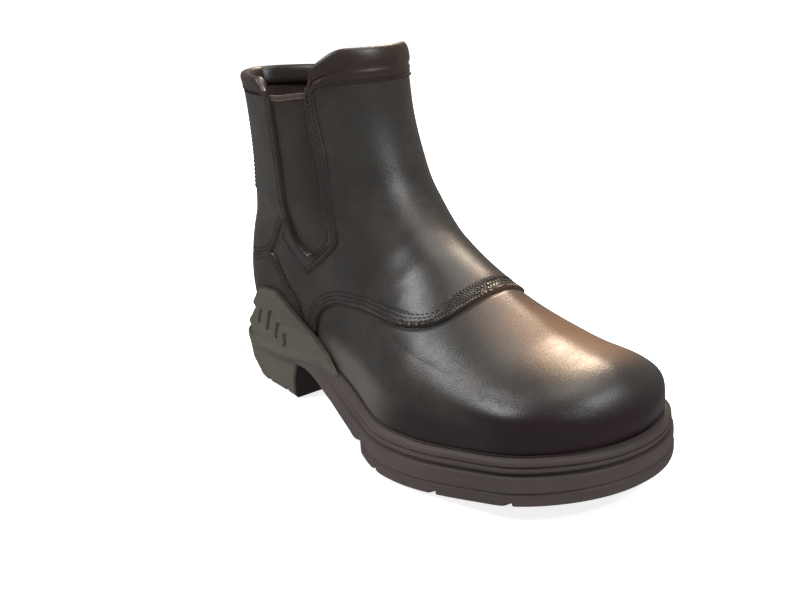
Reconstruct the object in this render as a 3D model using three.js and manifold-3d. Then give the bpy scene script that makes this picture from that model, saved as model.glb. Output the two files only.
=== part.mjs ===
// A right side gore work boot, size 42, in millimetres.
// +X runs to the toe, +Y to the inner side of the foot, +Z up.
// The origin is on the floor, at the heel's middle.
// Inside the functions, s is the distance from the back of the sole along the foot.
import * as THREE from "three";
import Module from "manifold-3d";

const wasm = await Module();
wasm.setup();

// Sole
const SOLE_LENGTH = 300;
const HEEL_HALF_WIDTH = 34;
const WAIST_OUTER = 45.8;
const WAIST_INNER = 36;
const BALL_OUTER = 67.5;
const BALL_INNER = 51.5;
const TOE_OUTER = 58.5;
const TOE_INNER = 57.5;
const TOE_SWING = 7;
const HEEL_SHIFT = 0.4;
const TOE_ROUNDING = 42;
const HEEL_ROUNDING = 38;
const HEEL_SQUARENESS = 3;
const TOE_SPRING = 11;
const HEEL_LENGTH = 73;
const HEEL_FLARE = 6.5;
const HEEL_HEIGHT = 20;
const ARCH_LENGTH = 86;
const TREAD_THICKNESS = 6.5;
const RAND_HEIGHT = 29;
const RAND_LEDGE = 3.5;
const PLATFORM_BALL = 19;
const PLATFORM_HEEL = 26;
const CUP_HEIGHT = 61;
const CUP_LENGTH = 120;
const CUP_WALL = 3.4;
const CUP_BULGE = 4.2;
const SLIT_WIDTH = 2.6;
const SLIT_DEPTH = 2;
const HEEL_TAPER = 4.6;
const EDGE_ROUND = 0.8;
const LUG_NOTCH_WIDTH = 4.4;
const LUG_NOTCH_HEIGHT = 2.2;
const LUG_NOTCH_REACH = 5;

// Upper
const TOE_LEDGE = 3;
const UPPER_LENGTH = SOLE_LENGTH - TOE_LEDGE;
const UPPER_INSET = 8;
const LEATHER_SPREAD = 3.2;
const SPREAD_HEIGHT = 13;
const CREST_ROUND = 0.14;
const FEATHER_HEEL = 30;
const FEATHER_TOE = 42;
const TOE_TUCK = 4.5;
const TOE_BOX_LENGTH = 55;
const TOE_BOX_START = UPPER_LENGTH - TOE_BOX_LENGTH;
const TOE_BOX_HEIGHT = 72.5;
const TOE_CURVE = 2.27;
const COLLAR_FRONT = 205;
const COLLAR_DROP = 13;
const COLLAR_BACK = COLLAR_FRONT - COLLAR_DROP;
const BACK_ROLL_HEIGHT = 13;
const BACK_ROLL_SINK = 3;
const FRONT_ROLL_HEIGHT = 18.6;
const GORE_RISE = 3;
const GORE_TOP = COLLAR_BACK - BACK_ROLL_HEIGHT;
const SHAFT_HALF_WIDTH = 35.7;
const WALL = 2.2;
const OVERLAY = 1.2;
const OVERLAY_GAP = 0.45;
const CLEAR = 0.3;
const SEAM_GAP = 0.6;
const LAP_REACH = 8;
const LAP_DEPTH = 1.5;
const WINDOW_MARGIN = 0.2;
const ROLL_THICKNESS = 6.6;
const ROLL_OUT = 2.6;
const ROLL_END = 3;
const ROLL_FULLNESS = 0.6;
const GORE_THICKNESS = 1.5;
const GORE_RECESS = 0.5;
const INSOLE_THICKNESS = 4;
const STRAP_WIDTH = 40;
const STRAP_THICKNESS = 2.4;
const STRAP_BOW = 1.2;
const STRAP_BOTTOM = 118;

// Share of the upper's length, share of the front collar's height.
const FRONT_PROFILE = [
  [0.4175, 1.02],
  [0.429, 0.956],
  [0.4407, 0.82],
  [0.4646, 0.712],
  [0.4973, 0.6195],
  [0.5613, 0.5317],
  [0.6539, 0.4585],
];
// Share of the upper's length, share of the back collar's height.
const BACK_PROFILE = [
  [0.037, 0.08],
  [0.037, 0.156],
  [0.0128, 0.271],
  [0.008, 0.443],
  [0.027, 0.583],
  [0.0405, 0.729],
  [0.0365, 0.885],
  [0.0175, 1.03],
];
// Share of the sole's length at which each half width is reached: outer side, inner side.
const WIDTH_STATIONS = [
  [0, 0],
  [0.13, 0.13],
  [0.27, 0.27],
  [0.44, 0.44],
  [0.645, 0.715],
  [0.86, 0.86],
  [1, 1],
];
const TOE_END_SHARE = 0.82;
// Half width of the shaft as a share of its named half width, at shares of the back collar's height.
const SHAFT_WIDTHS = [
  [0.156, 0.896],
  [0.3125, 0.896],
  [0.469, 0.925],
  [0.625, 0.98],
  [0.833, 0.985],
  [1.04, 1],
];
const SHAFT_WIDEST = 0.56;
// Side view of the gore window: share of the upper's length, share of the gore's top height.
const GORE_WINDOW = [
  [0.2395, 1.1],
  [0.2395, 1],
  [0.2485, 0.84],
  [0.251, 0.67],
  [0.2505, 0.6],
  [0.2575, 0.548],
  [0.284, 0.511],
  [0.3075, 0.503],
  [0.3315, 0.518],
  [0.3625, 0.552],
  [0.379, 0.596],
  [0.376, 0.65],
  [0.365, 0.78],
  [0.3475, 0.9],
  [0.3405, 1],
  [0.3405, 1.1],
];
// Side view of the seam where the quarter laps over the vamp.
// Share of the upper's length, share of the front collar's height.
const VAMP_SEAM = [
  [0.2761, 0.139],
  [0.283, 0.22],
  [0.302, 0.268],
  [0.343, 0.305],
  [0.411, 0.3365],
  [0.483, 0.347],
  [0.554, 0.348],
  [0.614, 0.351],
  [0.6615, 0.362],
  [0.683, 0.378],
  [0.695, 0.399],
  [0.722, 0.46],
];
// Side view of the counter's front edge: share of the upper's length, of the back collar's height.
const COUNTER_SEAM = [
  [-0.1, 0.41],
  [0.062, 0.405],
  [0.1495, 0.436],
  [0.205, 0.345],
  [0.2365, 0.293],
  [0.246, 0.21],
  [0.249, 0.149],
];
// Side view of the back panel's lower edge, from the back to the gore.
const BACK_PANEL_EDGE = [
  [-0.1, 0.41],
  [0.062, 0.405],
  [0.143, 0.436],
  [0.172, 0.475],
  [0.2025, 0.53],
  [0.236, 0.57],
];
// Top edge of the rand: share of the sole's length, share of the rand's height.
const RAND_PROFILE = [
  [0, 1],
  [0.36, 1],
  [0.42, 0.94],
  [0.47, 0.885],
  [0.7, 0.885],
  [0.8, 0.97],
  [0.9, 1.09],
  [0.95, 1.14],
  [1, 1.15],
];
// Top edge of the heel cup: share of the cup's length, share of its height.
const CUP_EDGE = [
  [-0.1, 0.77],
  [0.14, 0.775],
  [0.228, 0.885],
  [0.267, 0.967],
  [0.317, 1],
  [0.4, 1],
  [0.467, 0.94],
  [0.545, 0.844],
  [0.64, 0.734],
  [0.7, 0.672],
  [0.767, 0.616],
  [0.85, 0.562],
  [0.933, 0.511],
  [1, 0.462],
];
// Slits of the heel cup in side view: middle along the sole, middle of height, length, lean forward.
const CUP_SLITS = [
  [0.128, 0.706, 0.17, 0],
  [0.158, 0.687, 0.235, 0.05],
  [0.188, 0.621, 0.184, 0.03],
  [0.214, 0.543, 0.108, -0.05],
];
// Notches in the tread's edge: share of the heel's length, then share of the sole's length.
const HEEL_NOTCHES = [0.5, 0.81];
const TREAD_NOTCHES = [0.607, 0.748, 0.889];
// The midsole's side: share of the band's height, inset from the outline.
const SIDE_STEPS = [
  [0, 0.9],
  [0.05, 0.4],
  [0.44, 0.2],
  [0.49, 0.6],
  [0.53, 2.4],
  [0.6, 2.4],
  [0.63, 1.4],
  [0.68, 1],
  [0.73, 1.5],
  [0.78, 1.1],
  [0.9, 1.7],
  [1, RAND_LEDGE],
];

// Number of columns on each side of the upper, of rings up it, and of stations along the sole.
const SIDE_COLUMNS = 18;
const RINGS = 19;
const SOLE_STATIONS = 28;
const CURVE_STEPS = 12;
const SEAM_STEPS = 3;
const ROLL_SECTION = 12;
const ROLL_STEPS = 28;
const SLIT_POINTS = 12;
const CUP_STEPS = 22;
const END_TURN = 0.0001;
// Flat neighbouring triangles merge where the surface moves by less than this.
const SMOOTHNESS = 0.1;

const BLACK_BROWN = new THREE.MeshStandardMaterial({ color: 0x3b322d, roughness: 0.5, metalness: 0 });
const BROWN_LEATHER = new THREE.MeshStandardMaterial({ color: 0x4a403a, roughness: 0.45, metalness: 0 });
const ELASTIC = new THREE.MeshStandardMaterial({ color: 0x2f2622, roughness: 0.9, metalness: 0 });
const RUBBER = new THREE.MeshStandardMaterial({ color: 0x4c4543, roughness: 0.8, metalness: 0 });
const CUP_RUBBER = new THREE.MeshStandardMaterial({ color: 0x54524a, roughness: 0.75, metalness: 0 });
const WEBBING = new THREE.MeshStandardMaterial({ color: 0x121212, roughness: 0.95, metalness: 0 });
const FOAM = new THREE.MeshStandardMaterial({ color: 0x2a2624, roughness: 0.95, metalness: 0 });

const clamp = (value, low, high) => Math.min(high, Math.max(low, value));

function smooth(from, to, value) {
  const t = clamp((value - from) / (to - from), 0, 1);
  return t * t * (3 - 2 * t);
}

// Value at x of a table of rising x, straight between rows.
function lookUp(table, x) {
  if (x <= table[0][0]) return table[0][1];
  for (let i = 1; i < table.length; i++) {
    const [x0, y0] = table[i - 1];
    const [x1, y1] = table[i];
    if (x <= x1) return y0 + ((y1 - y0) * (x - x0)) / (x1 - x0);
  }
  return table[table.length - 1][1];
}

// Value at x of a curve that runs through the rows without overshoot.
function flowThrough(rows, x) {
  const last = rows.length - 1;
  const v = clamp(x, rows[0][0], rows[last][0]);
  let i = 0;
  while (i < last - 1 && v > rows[i + 1][0]) i++;
  const slope = (k) => (rows[k + 1][1] - rows[k][1]) / (rows[k + 1][0] - rows[k][0]);
  const tangent = (k) => {
    if (k === 0) return slope(0);
    if (k === last) return slope(last - 1);
    const before = slope(k - 1);
    const after = slope(k);
    return before * after > 0 ? (2 * before * after) / (before + after) : 0;
  };
  const h = rows[i + 1][0] - rows[i][0];
  const t = (v - rows[i][0]) / h;
  const t2 = t * t;
  const t3 = t2 * t;
  return (
    rows[i][1] * (2 * t3 - 3 * t2 + 1) +
    rows[i + 1][1] * (3 * t2 - 2 * t3) +
    h * (tangent(i) * (t3 - 2 * t2 + t) + tangent(i + 1) * (t3 - t2))
  );
}

const curvePoints = (rows, steps = CURVE_STEPS) =>
  new THREE.SplineCurve(rows.map(([x, y]) => new THREE.Vector2(x, y)))
    .getPoints(rows.length * steps)
    .map((p) => [p.x, p.y]);

// Sole outline
const centreLine = (s) => TOE_SWING * smooth(-0.35 * SOLE_LENGTH, 0.98 * SOLE_LENGTH, s) - HEEL_SHIFT;

function soleHalfWidth(s, side, inset) {
  const outer = side < 0;
  const widths = [
    HEEL_HALF_WIDTH - 1,
    HEEL_HALF_WIDTH,
    HEEL_HALF_WIDTH - 0.5,
    outer ? WAIST_OUTER : WAIST_INNER,
    outer ? BALL_OUTER : BALL_INNER,
    outer ? TOE_OUTER : TOE_INNER,
    TOE_END_SHARE * (outer ? TOE_OUTER : TOE_INNER),
  ];
  const rows = widths.map((w, i) => [WIDTH_STATIONS[i][outer ? 0 : 1] * SOLE_LENGTH, w - inset]);
  const fromBack = clamp((s - inset) / HEEL_ROUNDING, 0, 1);
  const fromToe = clamp((SOLE_LENGTH - inset - s) / TOE_ROUNDING, 0, 1);
  const corner = HEEL_SQUARENESS - (27 * inset) / SOLE_LENGTH;
  const backRound = Math.sqrt(Math.max(0, 1 - (1 - fromBack) ** corner));
  const toeRound = Math.max(0, 1 - (1 - fromToe) ** 2.3) ** (1 / 2.1);
  return flowThrough(rows, s) * backRound * toeRound;
}

const archEnd = HEEL_LENGTH + ARCH_LENGTH;
const groundLevel = (s) => TOE_SPRING * smooth(0.66 * SOLE_LENGTH, 1.03 * SOLE_LENGTH, s);
const archRise = HEEL_HEIGHT - TREAD_THICKNESS;
const archLevel = (s) => archRise * smooth(archEnd, HEEL_LENGTH, s) + groundLevel(s);
const randTop = (s) => RAND_HEIGHT * flowThrough(RAND_PROFILE, s / SOLE_LENGTH);
const platform = (s) =>
  PLATFORM_BALL +
  (PLATFORM_HEEL - PLATFORM_BALL) * smooth(0.55 * SOLE_LENGTH, 0.25 * SOLE_LENGTH, s) +
  0.45 * groundLevel(s);

// Upper: front and back profile in side view
const frontShaft = curvePoints([
  ...FRONT_PROFILE.map(([a, b]) => [a * UPPER_LENGTH, b * COLLAR_FRONT]),
  [TOE_BOX_START, TOE_BOX_HEIGHT],
]);
const [lastShare, lastHeight] = FRONT_PROFILE[FRONT_PROFILE.length - 1];
const boxSlope = -(lastHeight * COLLAR_FRONT - TOE_BOX_HEIGHT) / (TOE_BOX_START - lastShare * UPPER_LENGTH);
const TOE_STEPS = 40;
const toeBox = Array.from({ length: TOE_STEPS }, (_, i) => {
  const angle = ((i + 1) / TOE_STEPS) * (Math.PI / 2);
  const reach = UPPER_LENGTH - TOE_BOX_START;
  const along = Math.sin(angle) ** (2 / TOE_CURVE);
  const fade = boxSlope * reach * along * (1 - along) ** 2;
  const drop = Math.max(0, Math.cos(angle)) ** (2 / TOE_CURVE);
  const height = FEATHER_TOE + (TOE_BOX_HEIGHT - FEATHER_TOE) * drop;
  return [TOE_BOX_START + reach * along, height + fade];
});
const toeTuck = [
  [UPPER_LENGTH - 0.3 * TOE_TUCK, 0.86 * FEATHER_TOE],
  [UPPER_LENGTH - TOE_TUCK, 0.7 * FEATHER_TOE],
  [UPPER_LENGTH - 1.2 * TOE_TUCK, 0.3 * FEATHER_TOE],
];
const frontLine = [...frontShaft, ...toeBox, ...toeTuck];
const frontByHeight = frontLine.map(([s, z]) => [z, s]).sort((a, b) => a[0] - b[0]);
const frontByLength = frontLine.slice(0, -toeTuck.length);
const backLine = curvePoints(BACK_PROFILE.map(([a, b]) => [a * UPPER_LENGTH, b * COLLAR_BACK]));
const backByHeight = backLine.map(([s, z]) => [z, s]);
const frontAt = (z) => lookUp(frontByHeight, z);
const backAt = (z) => lookUp(backByHeight, z);
const ridgeAt = (s) => lookUp([[0, 2 * COLLAR_FRONT], ...frontByLength], s);

// Half width of the foot at a drop below its ridge, both as shares: a soft crest.
function crest(drop) {
  const round = CREST_ROUND ** 1.45;
  const wide = (value) => (value + round) ** (2 / 1.45) - CREST_ROUND ** 2;
  return Math.sqrt(wide(drop) / wide(1));
}

// Half width of the upper at s and z. Low down it follows the foot, higher up the shaft's oval.
function upperHalfWidth(s, z, side) {
  const back = backAt(z);
  const front = frontAt(z);
  const feather = FEATHER_HEEL + (FEATHER_TOE - FEATHER_HEEL) * smooth(0.52 * SOLE_LENGTH, UPPER_LENGTH, s);
  const rise = clamp((z - feather) / Math.max(ridgeAt(s) - feather, 1e-6), 0, 1);
  const fullness = 1 + 0.03 * Math.sin(clamp(rise / 0.5, 0, 1) * Math.PI);
  const heel = backAt(FEATHER_HEEL);
  const lowFront = frontAt(Math.min(z, FEATHER_TOE));
  const shifted = s - (back - heel) * smooth(0.42 * SOLE_LENGTH, 0.087 * SOLE_LENGTH, s);
  const alongSole = UPPER_INSET + ((shifted - heel) / (lowFront - heel)) * (SOLE_LENGTH - 2 * UPPER_INSET);
  const plainFoot = soleHalfWidth(alongSole, side, UPPER_INSET) * crest(1 - rise ** 2.22) * fullness;
  // The leather spreads a little where it meets the rand.
  const spread = LEATHER_SPREAD * smooth(randTop(s) + SPREAD_HEIGHT, randTop(s), z);
  const foot = plainFoot * (1 + spread / Math.max(plainFoot, SOLE_LENGTH / 10));
  const share = clamp((s - back) / Math.max(front - back, 1e-6), 0, 1);
  const behind = share < SHAFT_WIDEST;
  const away = Math.abs(share - SHAFT_WIDEST) / (behind ? SHAFT_WIDEST : 1 - SHAFT_WIDEST);
  const rearOval = Math.max(0, 1 - away ** 1.75) ** (1 / 1.75);
  const frontOval = Math.max(0, 1 - away ** 2.3) ** (1 / 2.1);
  const oval = behind ? rearOval : frontOval;
  const shaft = SHAFT_HALF_WIDTH * lookUp(SHAFT_WIDTHS, z / COLLAR_BACK) * oval;
  const high = smooth(0.3125 * COLLAR_BACK, 0.651 * COLLAR_BACK, z);
  return foot * (1 - high) + shaft * high;
}

// Point of the upper at turn u (0 back, 1 front, 2 back again) and height z.
const shareOf = (u) => (1 - Math.cos(Math.PI * u)) / 2;
function upperPoint(u, z) {
  const side = (((u % 2) + 2) % 2) < 1 ? -1 : 1;
  const back = backAt(z);
  const s = back + (frontAt(z) - back) * shareOf(u);
  return new THREE.Vector3(s, centreLine(s) + side * upperHalfWidth(s, z, side), z);
}

// The same point moved out by a distance along the surface's own normal.
function offsetPoint(u, z, distance) {
  const du = 0.012;
  const dz = 0.0034 * COLLAR_FRONT;
  const across = upperPoint(u + du, z).sub(upperPoint(u - du, z));
  const up = upperPoint(u, z + dz).sub(upperPoint(u, z - dz));
  const normal = across.cross(up).normalize();
  return upperPoint(u, z).addScaledVector(normal, distance);
}

// Heights of a ring: v runs from the sole (0) to the top (1), spaced by length along both profiles.
function profileSpacing(line, low, high) {
  const part = line.filter(([, z]) => z > low && z < high).sort((a, b) => a[1] - b[1]);
  const points = [[part[0][0], low], ...part, [part[part.length - 1][0], high]];
  const table = [[0, low]];
  for (let i = 1; i < points.length; i++) {
    const step = Math.hypot(points[i][0] - points[i - 1][0], points[i][1] - points[i - 1][1]);
    table.push([table[i - 1][0] + step, points[i][1]]);
  }
  const length = table[table.length - 1][0];
  return table.map(([l, z]) => [l / length, z]);
}
const lowestAt = (s) => platform(s) + CLEAR;
const FRONT_WALL_TOP = COLLAR_FRONT - FRONT_ROLL_HEIGHT;
const BACK_WALL_TOP = GORE_TOP;
const frontSpacing = profileSpacing(frontLine, lowestAt(UPPER_LENGTH), FRONT_WALL_TOP);
const backSpacing = profileSpacing(backLine, lowestAt(0), BACK_WALL_TOP);
const wallTop = (share) =>
  BACK_WALL_TOP +
  GORE_RISE * smooth(0.5, 0.8, share) +
  (FRONT_WALL_TOP - BACK_WALL_TOP - GORE_RISE) * smooth(0.74, 0.95, share);
function ringHeight(u, v) {
  const share = shareOf(u);
  const height = lookUp(backSpacing, v) * (1 - share) + lookUp(frontSpacing, v) * share;
  const middle = lowestAt(share * UPPER_LENGTH);
  const straight = lowestAt(0) * (1 - share) + lowestAt(UPPER_LENGTH) * share;
  const level = BACK_WALL_TOP * (1 - share) + FRONT_WALL_TOP * share;
  return height + (middle - straight) * (1 - v) ** 6 + (wallTop(share) - level) * v ** 6;
}

// Solids from rings of points
class Body {
  constructor() {
    this.points = [];
    this.faces = [];
  }
  ring(points) {
    const start = this.points.length;
    this.points.push(...points);
    return Array.from({ length: points.length }, (_, i) => start + i);
  }
  quad(a, b, c, d) {
    this.faces.push([a, b, c], [a, c, d]);
  }
  join(lower, upper) {
    const n = lower.length;
    for (let i = 0; i < n; i++) {
      const j = (i + 1) % n;
      this.quad(lower[i], lower[j], upper[j], upper[i]);
    }
  }
  // Closes a ring whose first half runs up one side and whose second half runs back down the other.
  ladder(ring, up) {
    const n = ring.length;
    for (let i = 0; i < n / 2 - 1; i++) {
      const a = ring[i];
      const b = ring[i + 1];
      const c = ring[n - 2 - i];
      const d = ring[n - 1 - i];
      if (up) this.quad(a, b, c, d);
      else this.quad(d, c, b, a);
    }
  }
  fan(ring, up) {
    const middle = new THREE.Vector3();
    ring.forEach((i) => middle.add(this.points[i]));
    this.points.push(middle.divideScalar(ring.length));
    const centre = this.points.length - 1;
    ring.forEach((a, i) => {
      const b = ring[(i + 1) % ring.length];
      this.faces.push(up ? [a, b, centre] : [b, a, centre]);
    });
  }
  solid() {
    const vertProperties = new Float32Array(this.points.flatMap((p) => [p.x, p.y, p.z]));
    const triVerts = new Uint32Array(this.faces.flat());
    const made = new wasm.Manifold(new wasm.Mesh({ numProp: 3, vertProperties, triVerts }));
    if (made.volume() > 0) return made;
    const turned = new Uint32Array(this.faces.flatMap(([a, b, c]) => [a, c, b]));
    return new wasm.Manifold(new wasm.Mesh({ numProp: 3, vertProperties, triVerts: turned }));
  }
}

function geometryOf(solid) {
  const mesh = solid.simplify(SMOOTHNESS).getMesh();
  const n = mesh.numProp;
  const positions = new Float32Array(mesh.numVert * 3);
  for (let i = 0; i < mesh.numVert; i++) {
    positions.set(mesh.vertProperties.subarray(i * n, i * n + 3), i * 3);
  }
  const geometry = new THREE.BufferGeometry();
  geometry.setAttribute("position", new THREE.BufferAttribute(positions, 3));
  geometry.setIndex(new THREE.BufferAttribute(new Uint32Array(mesh.triVerts), 1));
  return geometry;
}

// A side-view outline of [s, z] rows, pushed through the boot from one y to another.
function sidePrism(outline, fromY, toY) {
  const section = new wasm.CrossSection([outline], "NonZero");
  return section.extrude(toY - fromY).rotate([90, 0, 0]).translate([0, toY, 0]);
}

// A closed wall between two offsets of the upper's surface, from the sole to the top.
function wallBetween(inside, outside) {
  const body = new Body();
  const columns = Array.from({ length: 2 * SIDE_COLUMNS }, (_, i) => i / SIDE_COLUMNS);
  const rows = Array.from({ length: RINGS + 1 }, (_, k) => k / RINGS);
  const ringAt = (v, distance) => body.ring(columns.map((u) => offsetPoint(u, ringHeight(u, v), distance)));
  const skin = (distance) => rows.map((v) => ringAt(v, distance));
  const outer = skin(outside);
  const inner = skin(inside);
  for (let k = 0; k < RINGS; k++) {
    body.join(outer[k], outer[k + 1]);
    body.join(inner[k + 1], inner[k]);
  }
  body.join(inner[0], outer[0]);
  body.join(outer[RINGS], inner[RINGS]);
  return body.solid();
}

const scaled = (rows, length, height) => rows.map(([a, b]) => [a * length, b * height]);
const FAR = 200;
const NEAR = 2;
const THIN = 0.02;
// A side-view outline pushed out from the middle through one side of the boot.
const sideCutter = (outline, side) =>
  side < 0 ? sidePrism(outline, -FAR, -NEAR) : sidePrism(outline, NEAR, FAR);
const goreWindow = scaled(GORE_WINDOW, UPPER_LENGTH, GORE_TOP);
// Moves an outline towards its own middle by a distance, or away from it when negative.
function shrunk(outline, distance) {
  const n = outline.length;
  const area = outline.reduce((sum, [x, y], i) => {
    const [x2, y2] = outline[(i + 1) % n];
    return sum + x * y2 - x2 * y;
  }, 0);
  const turn = Math.sign(area);
  return outline.map((p, i) => {
    const before = outline[(i + n - 1) % n];
    const after = outline[(i + 1) % n];
    const e1 = new THREE.Vector2(p[0] - before[0], p[1] - before[1]).normalize();
    const e2 = new THREE.Vector2(after[0] - p[0], after[1] - p[1]).normalize();
    const normal = new THREE.Vector2(-(e1.y + e2.y), e1.x + e2.x).multiplyScalar(turn).normalize();
    const spread = Math.max(0.5, Math.abs(normal.x * -e1.y + normal.y * e1.x));
    return [p[0] + (normal.x * distance) / spread, p[1] + (normal.y * distance) / spread];
  });
}

const group = new THREE.Group();
group.position.x = -HEEL_LENGTH / 2;
function add(name, solid, material) {
  const mesh = new THREE.Mesh(geometryOf(solid), material);
  mesh.name = name;
  group.add(mesh);
}

// Upper, open at the collar and under the foot, with a window at each side for the gore
const upper = wallBetween(-WALL, 0).subtract(sideCutter(goreWindow, -1)).subtract(sideCutter(goreWindow, 1));
add("upper", upper, BROWN_LEATHER);

// Gores, a little behind the leather's face
function gore(side) {
  const panel = shrunk(goreWindow, CLEAR);
  return wallBetween(-GORE_RECESS - GORE_THICKNESS, -GORE_RECESS).intersect(sideCutter(panel, side));
}
add("gore_outer_side", gore(-1), ELASTIC);
add("gore_inner_side", gore(1), ELASTIC);

// Room that every piece around the upper leaves free
const upperRoom = wallBetween(-WALL - CLEAR, CLEAR);

// Overlays: quarter over the vamp, counter at the heel, back panel above it
const overlayWall = wallBetween(OVERLAY_GAP, OVERLAY_GAP + OVERLAY).subtract(upperRoom);
const vampSeam = curvePoints(scaled(VAMP_SEAM, UPPER_LENGTH, COLLAR_FRONT), SEAM_STEPS);
const overlayFoot = RAND_HEIGHT - LAP_DEPTH;
const counterSeam = scaled(COUNTER_SEAM, UPPER_LENGTH, COLLAR_BACK);
const backPanelEdge = scaled(BACK_PANEL_EDGE, UPPER_LENGTH, COLLAR_BACK);
const goreMiddle = (goreWindow[1][0] + goreWindow[goreWindow.length - 2][0]) / 2;
const windowCut = shrunk(goreWindow, -WINDOW_MARGIN);
const cutWindows = (solid) => solid.subtract(sideCutter(windowCut, -1)).subtract(sideCutter(windowCut, 1));
const lastOf = (rows) => rows[rows.length - 1];
const counterOutline = [
  [-FAR, overlayFoot],
  [-FAR, counterSeam[0][1]],
  ...counterSeam,
  [lastOf(counterSeam)[0], overlayFoot],
];
const backPanelOutline = [
  [-FAR, 2 * COLLAR_BACK],
  [-FAR, backPanelEdge[0][1]],
  ...backPanelEdge,
  [goreMiddle, lastOf(backPanelEdge)[1]],
  [goreMiddle, 2 * COLLAR_BACK],
];
const behindVamp = [
  ...vampSeam,
  [2 * FAR, lastOf(vampSeam)[1]],
  [2 * FAR, 2 * COLLAR_FRONT],
  [-FAR, 2 * COLLAR_FRONT],
  [-FAR, overlayFoot],
  [vampSeam[0][0], overlayFoot],
];
const counter = overlayWall.intersect(sidePrism(counterOutline, -FAR, FAR));
const backPanel = cutWindows(overlayWall.intersect(sidePrism(backPanelOutline, -FAR, FAR))).subtract(
  sidePrism(shrunk(counterOutline, -SEAM_GAP), -FAR, FAR),
);
const quarter = cutWindows(overlayWall.intersect(sidePrism(behindVamp, -FAR, FAR)))
  .subtract(sidePrism(shrunk(counterOutline, -SEAM_GAP), -FAR, FAR))
  .subtract(sidePrism(shrunk(backPanelOutline, -SEAM_GAP), -FAR, FAR));
add("counter", counter, BROWN_LEATHER);
add("back_panel", backPanel, BROWN_LEATHER);
add("quarter", quarter, BROWN_LEATHER);

// A padded roll along the collar: a round section that follows the surface between two turns
function collarRoll(fromTurn, toTurn, steps, baseAt, topAt) {
  const body = new Body();
  const rings = [];
  for (let i = 0; i <= steps; i++) {
    const u = fromTurn + ((toTurn - fromTurn) * i) / steps;
    const share = shareOf(u);
    const base = baseAt(share);
    const height = topAt(share) - base;
    const thickness = Math.min(ROLL_THICKNESS, ROLL_END + ROLL_FULLNESS * (height - ROLL_END));
    const middle = ROLL_OUT - thickness / 2;
    const points = [];
    for (let k = 0; k < ROLL_SECTION; k++) {
      const angle = (k / ROLL_SECTION) * 2 * Math.PI;
      const up = Math.sign(Math.sin(angle)) * Math.abs(Math.sin(angle)) ** 0.7;
      const out = Math.sign(Math.cos(angle)) * Math.abs(Math.cos(angle)) ** 0.7;
      const z = base + height * (0.5 + 0.5 * up);
      points.push(offsetPoint(u, z, middle + (thickness / 2) * out));
    }
    rings.push(body.ring(points));
  }
  for (let i = 0; i < steps; i++) body.join(rings[i], rings[i + 1]);
  body.fan(rings[0], false);
  body.fan(rings[steps], true);
  return body.solid();
}
// The front roll climbs steeply out of the gore's corner, then gently to the front.
const frontRollRise = (share) => 0.62 * smooth(0.78, 0.82, share) + 0.38 * smooth(0.79, 0.95, share);
const frontRollStart = 0.685;
const rollBase = 2 * CLEAR;
const frontRoll = collarRoll(
  frontRollStart,
  2 - frontRollStart,
  ROLL_STEPS,
  (share) => wallTop(share) + rollBase,
  (share) => wallTop(share) + ROLL_END + (FRONT_ROLL_HEIGHT - ROLL_END) * frontRollRise(share),
);
add("collar_front", frontRoll, BLACK_BROWN);
const backRollEnd = 0.5;
const backRollRise = BACK_ROLL_HEIGHT - BACK_ROLL_SINK - ROLL_END;
const backRoll = collarRoll(
  -backRollEnd,
  backRollEnd,
  ROLL_STEPS,
  () => BACK_WALL_TOP + rollBase,
  (share) => BACK_WALL_TOP + ROLL_END + backRollRise * smooth(0.49, 0.42, share),
);
add("collar_back", backRoll, BLACK_BROWN);

// Pull strap of webbing down the back, bowed a little off the leather
function pullStrap() {
  const body = new Body();
  const steps = 14;
  const across = 6;
  const top = BACK_WALL_TOP;
  const bottom = STRAP_BOTTOM;
  const rings = [];
  for (let i = 0; i <= steps; i++) {
    const share = i / steps;
    const z = bottom + (top - bottom) * share;
    const lift = OVERLAY_GAP + OVERLAY + CLEAR + STRAP_BOW * Math.sin(Math.PI * share) ** 0.6;
    const turnPer = turnForArc(z, STRAP_WIDTH / 2);
    const row = (distance, reverse) =>
      Array.from({ length: across + 1 }, (_, k) => {
        const t = reverse ? 1 - k / across : k / across;
        return offsetPoint(-turnPer + 2 * turnPer * t, z, distance);
      });
    rings.push(body.ring([...row(lift + STRAP_THICKNESS, false), ...row(lift, true)]));
  }
  for (let i = 0; i < steps; i++) body.join(rings[i], rings[i + 1]);
  body.ladder(rings[0], false);
  body.ladder(rings[steps], true);
  return body.solid();
}
// Turn at which the surface at height z is an arc length away from the back seam.
function turnForArc(z, arc) {
  let length = 0;
  let u = 0;
  let before = upperPoint(0, z);
  while (length < arc) {
    u += 0.004;
    const now = upperPoint(u, z);
    length += now.distanceTo(before);
    before = now;
  }
  return u;
}
add("pull_strap", pullStrap(), WEBBING);

// Insole, lying on the midsole inside the upper
function insole() {
  const body = new Body();
  const columns = Array.from({ length: 2 * SIDE_COLUMNS + 2 }, (_, i) =>
    i <= SIDE_COLUMNS ? i / SIDE_COLUMNS : (i - 1) / SIDE_COLUMNS,
  );
  const ringAt = (lift, distance) =>
    body.ring(
      columns.map((u, i) => {
        const share = shareOf(u);
        const z = platform(share * UPPER_LENGTH) + CLEAR + lift;
        const outer = i <= SIDE_COLUMNS;
        const turn = outer ? clamp(u, END_TURN, 1 - END_TURN) : clamp(u, 1 + END_TURN, 2 - END_TURN);
        return offsetPoint(turn, z, distance);
      }),
    );
  const low = ringAt(0, -WALL - 2 * CLEAR);
  const high = ringAt(INSOLE_THICKNESS, -WALL - 2 * CLEAR);
  body.join(low, high);
  body.ladder(low, false);
  body.ladder(high, true);
  return body.solid();
}
add("insole", insole(), FOAM);

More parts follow.
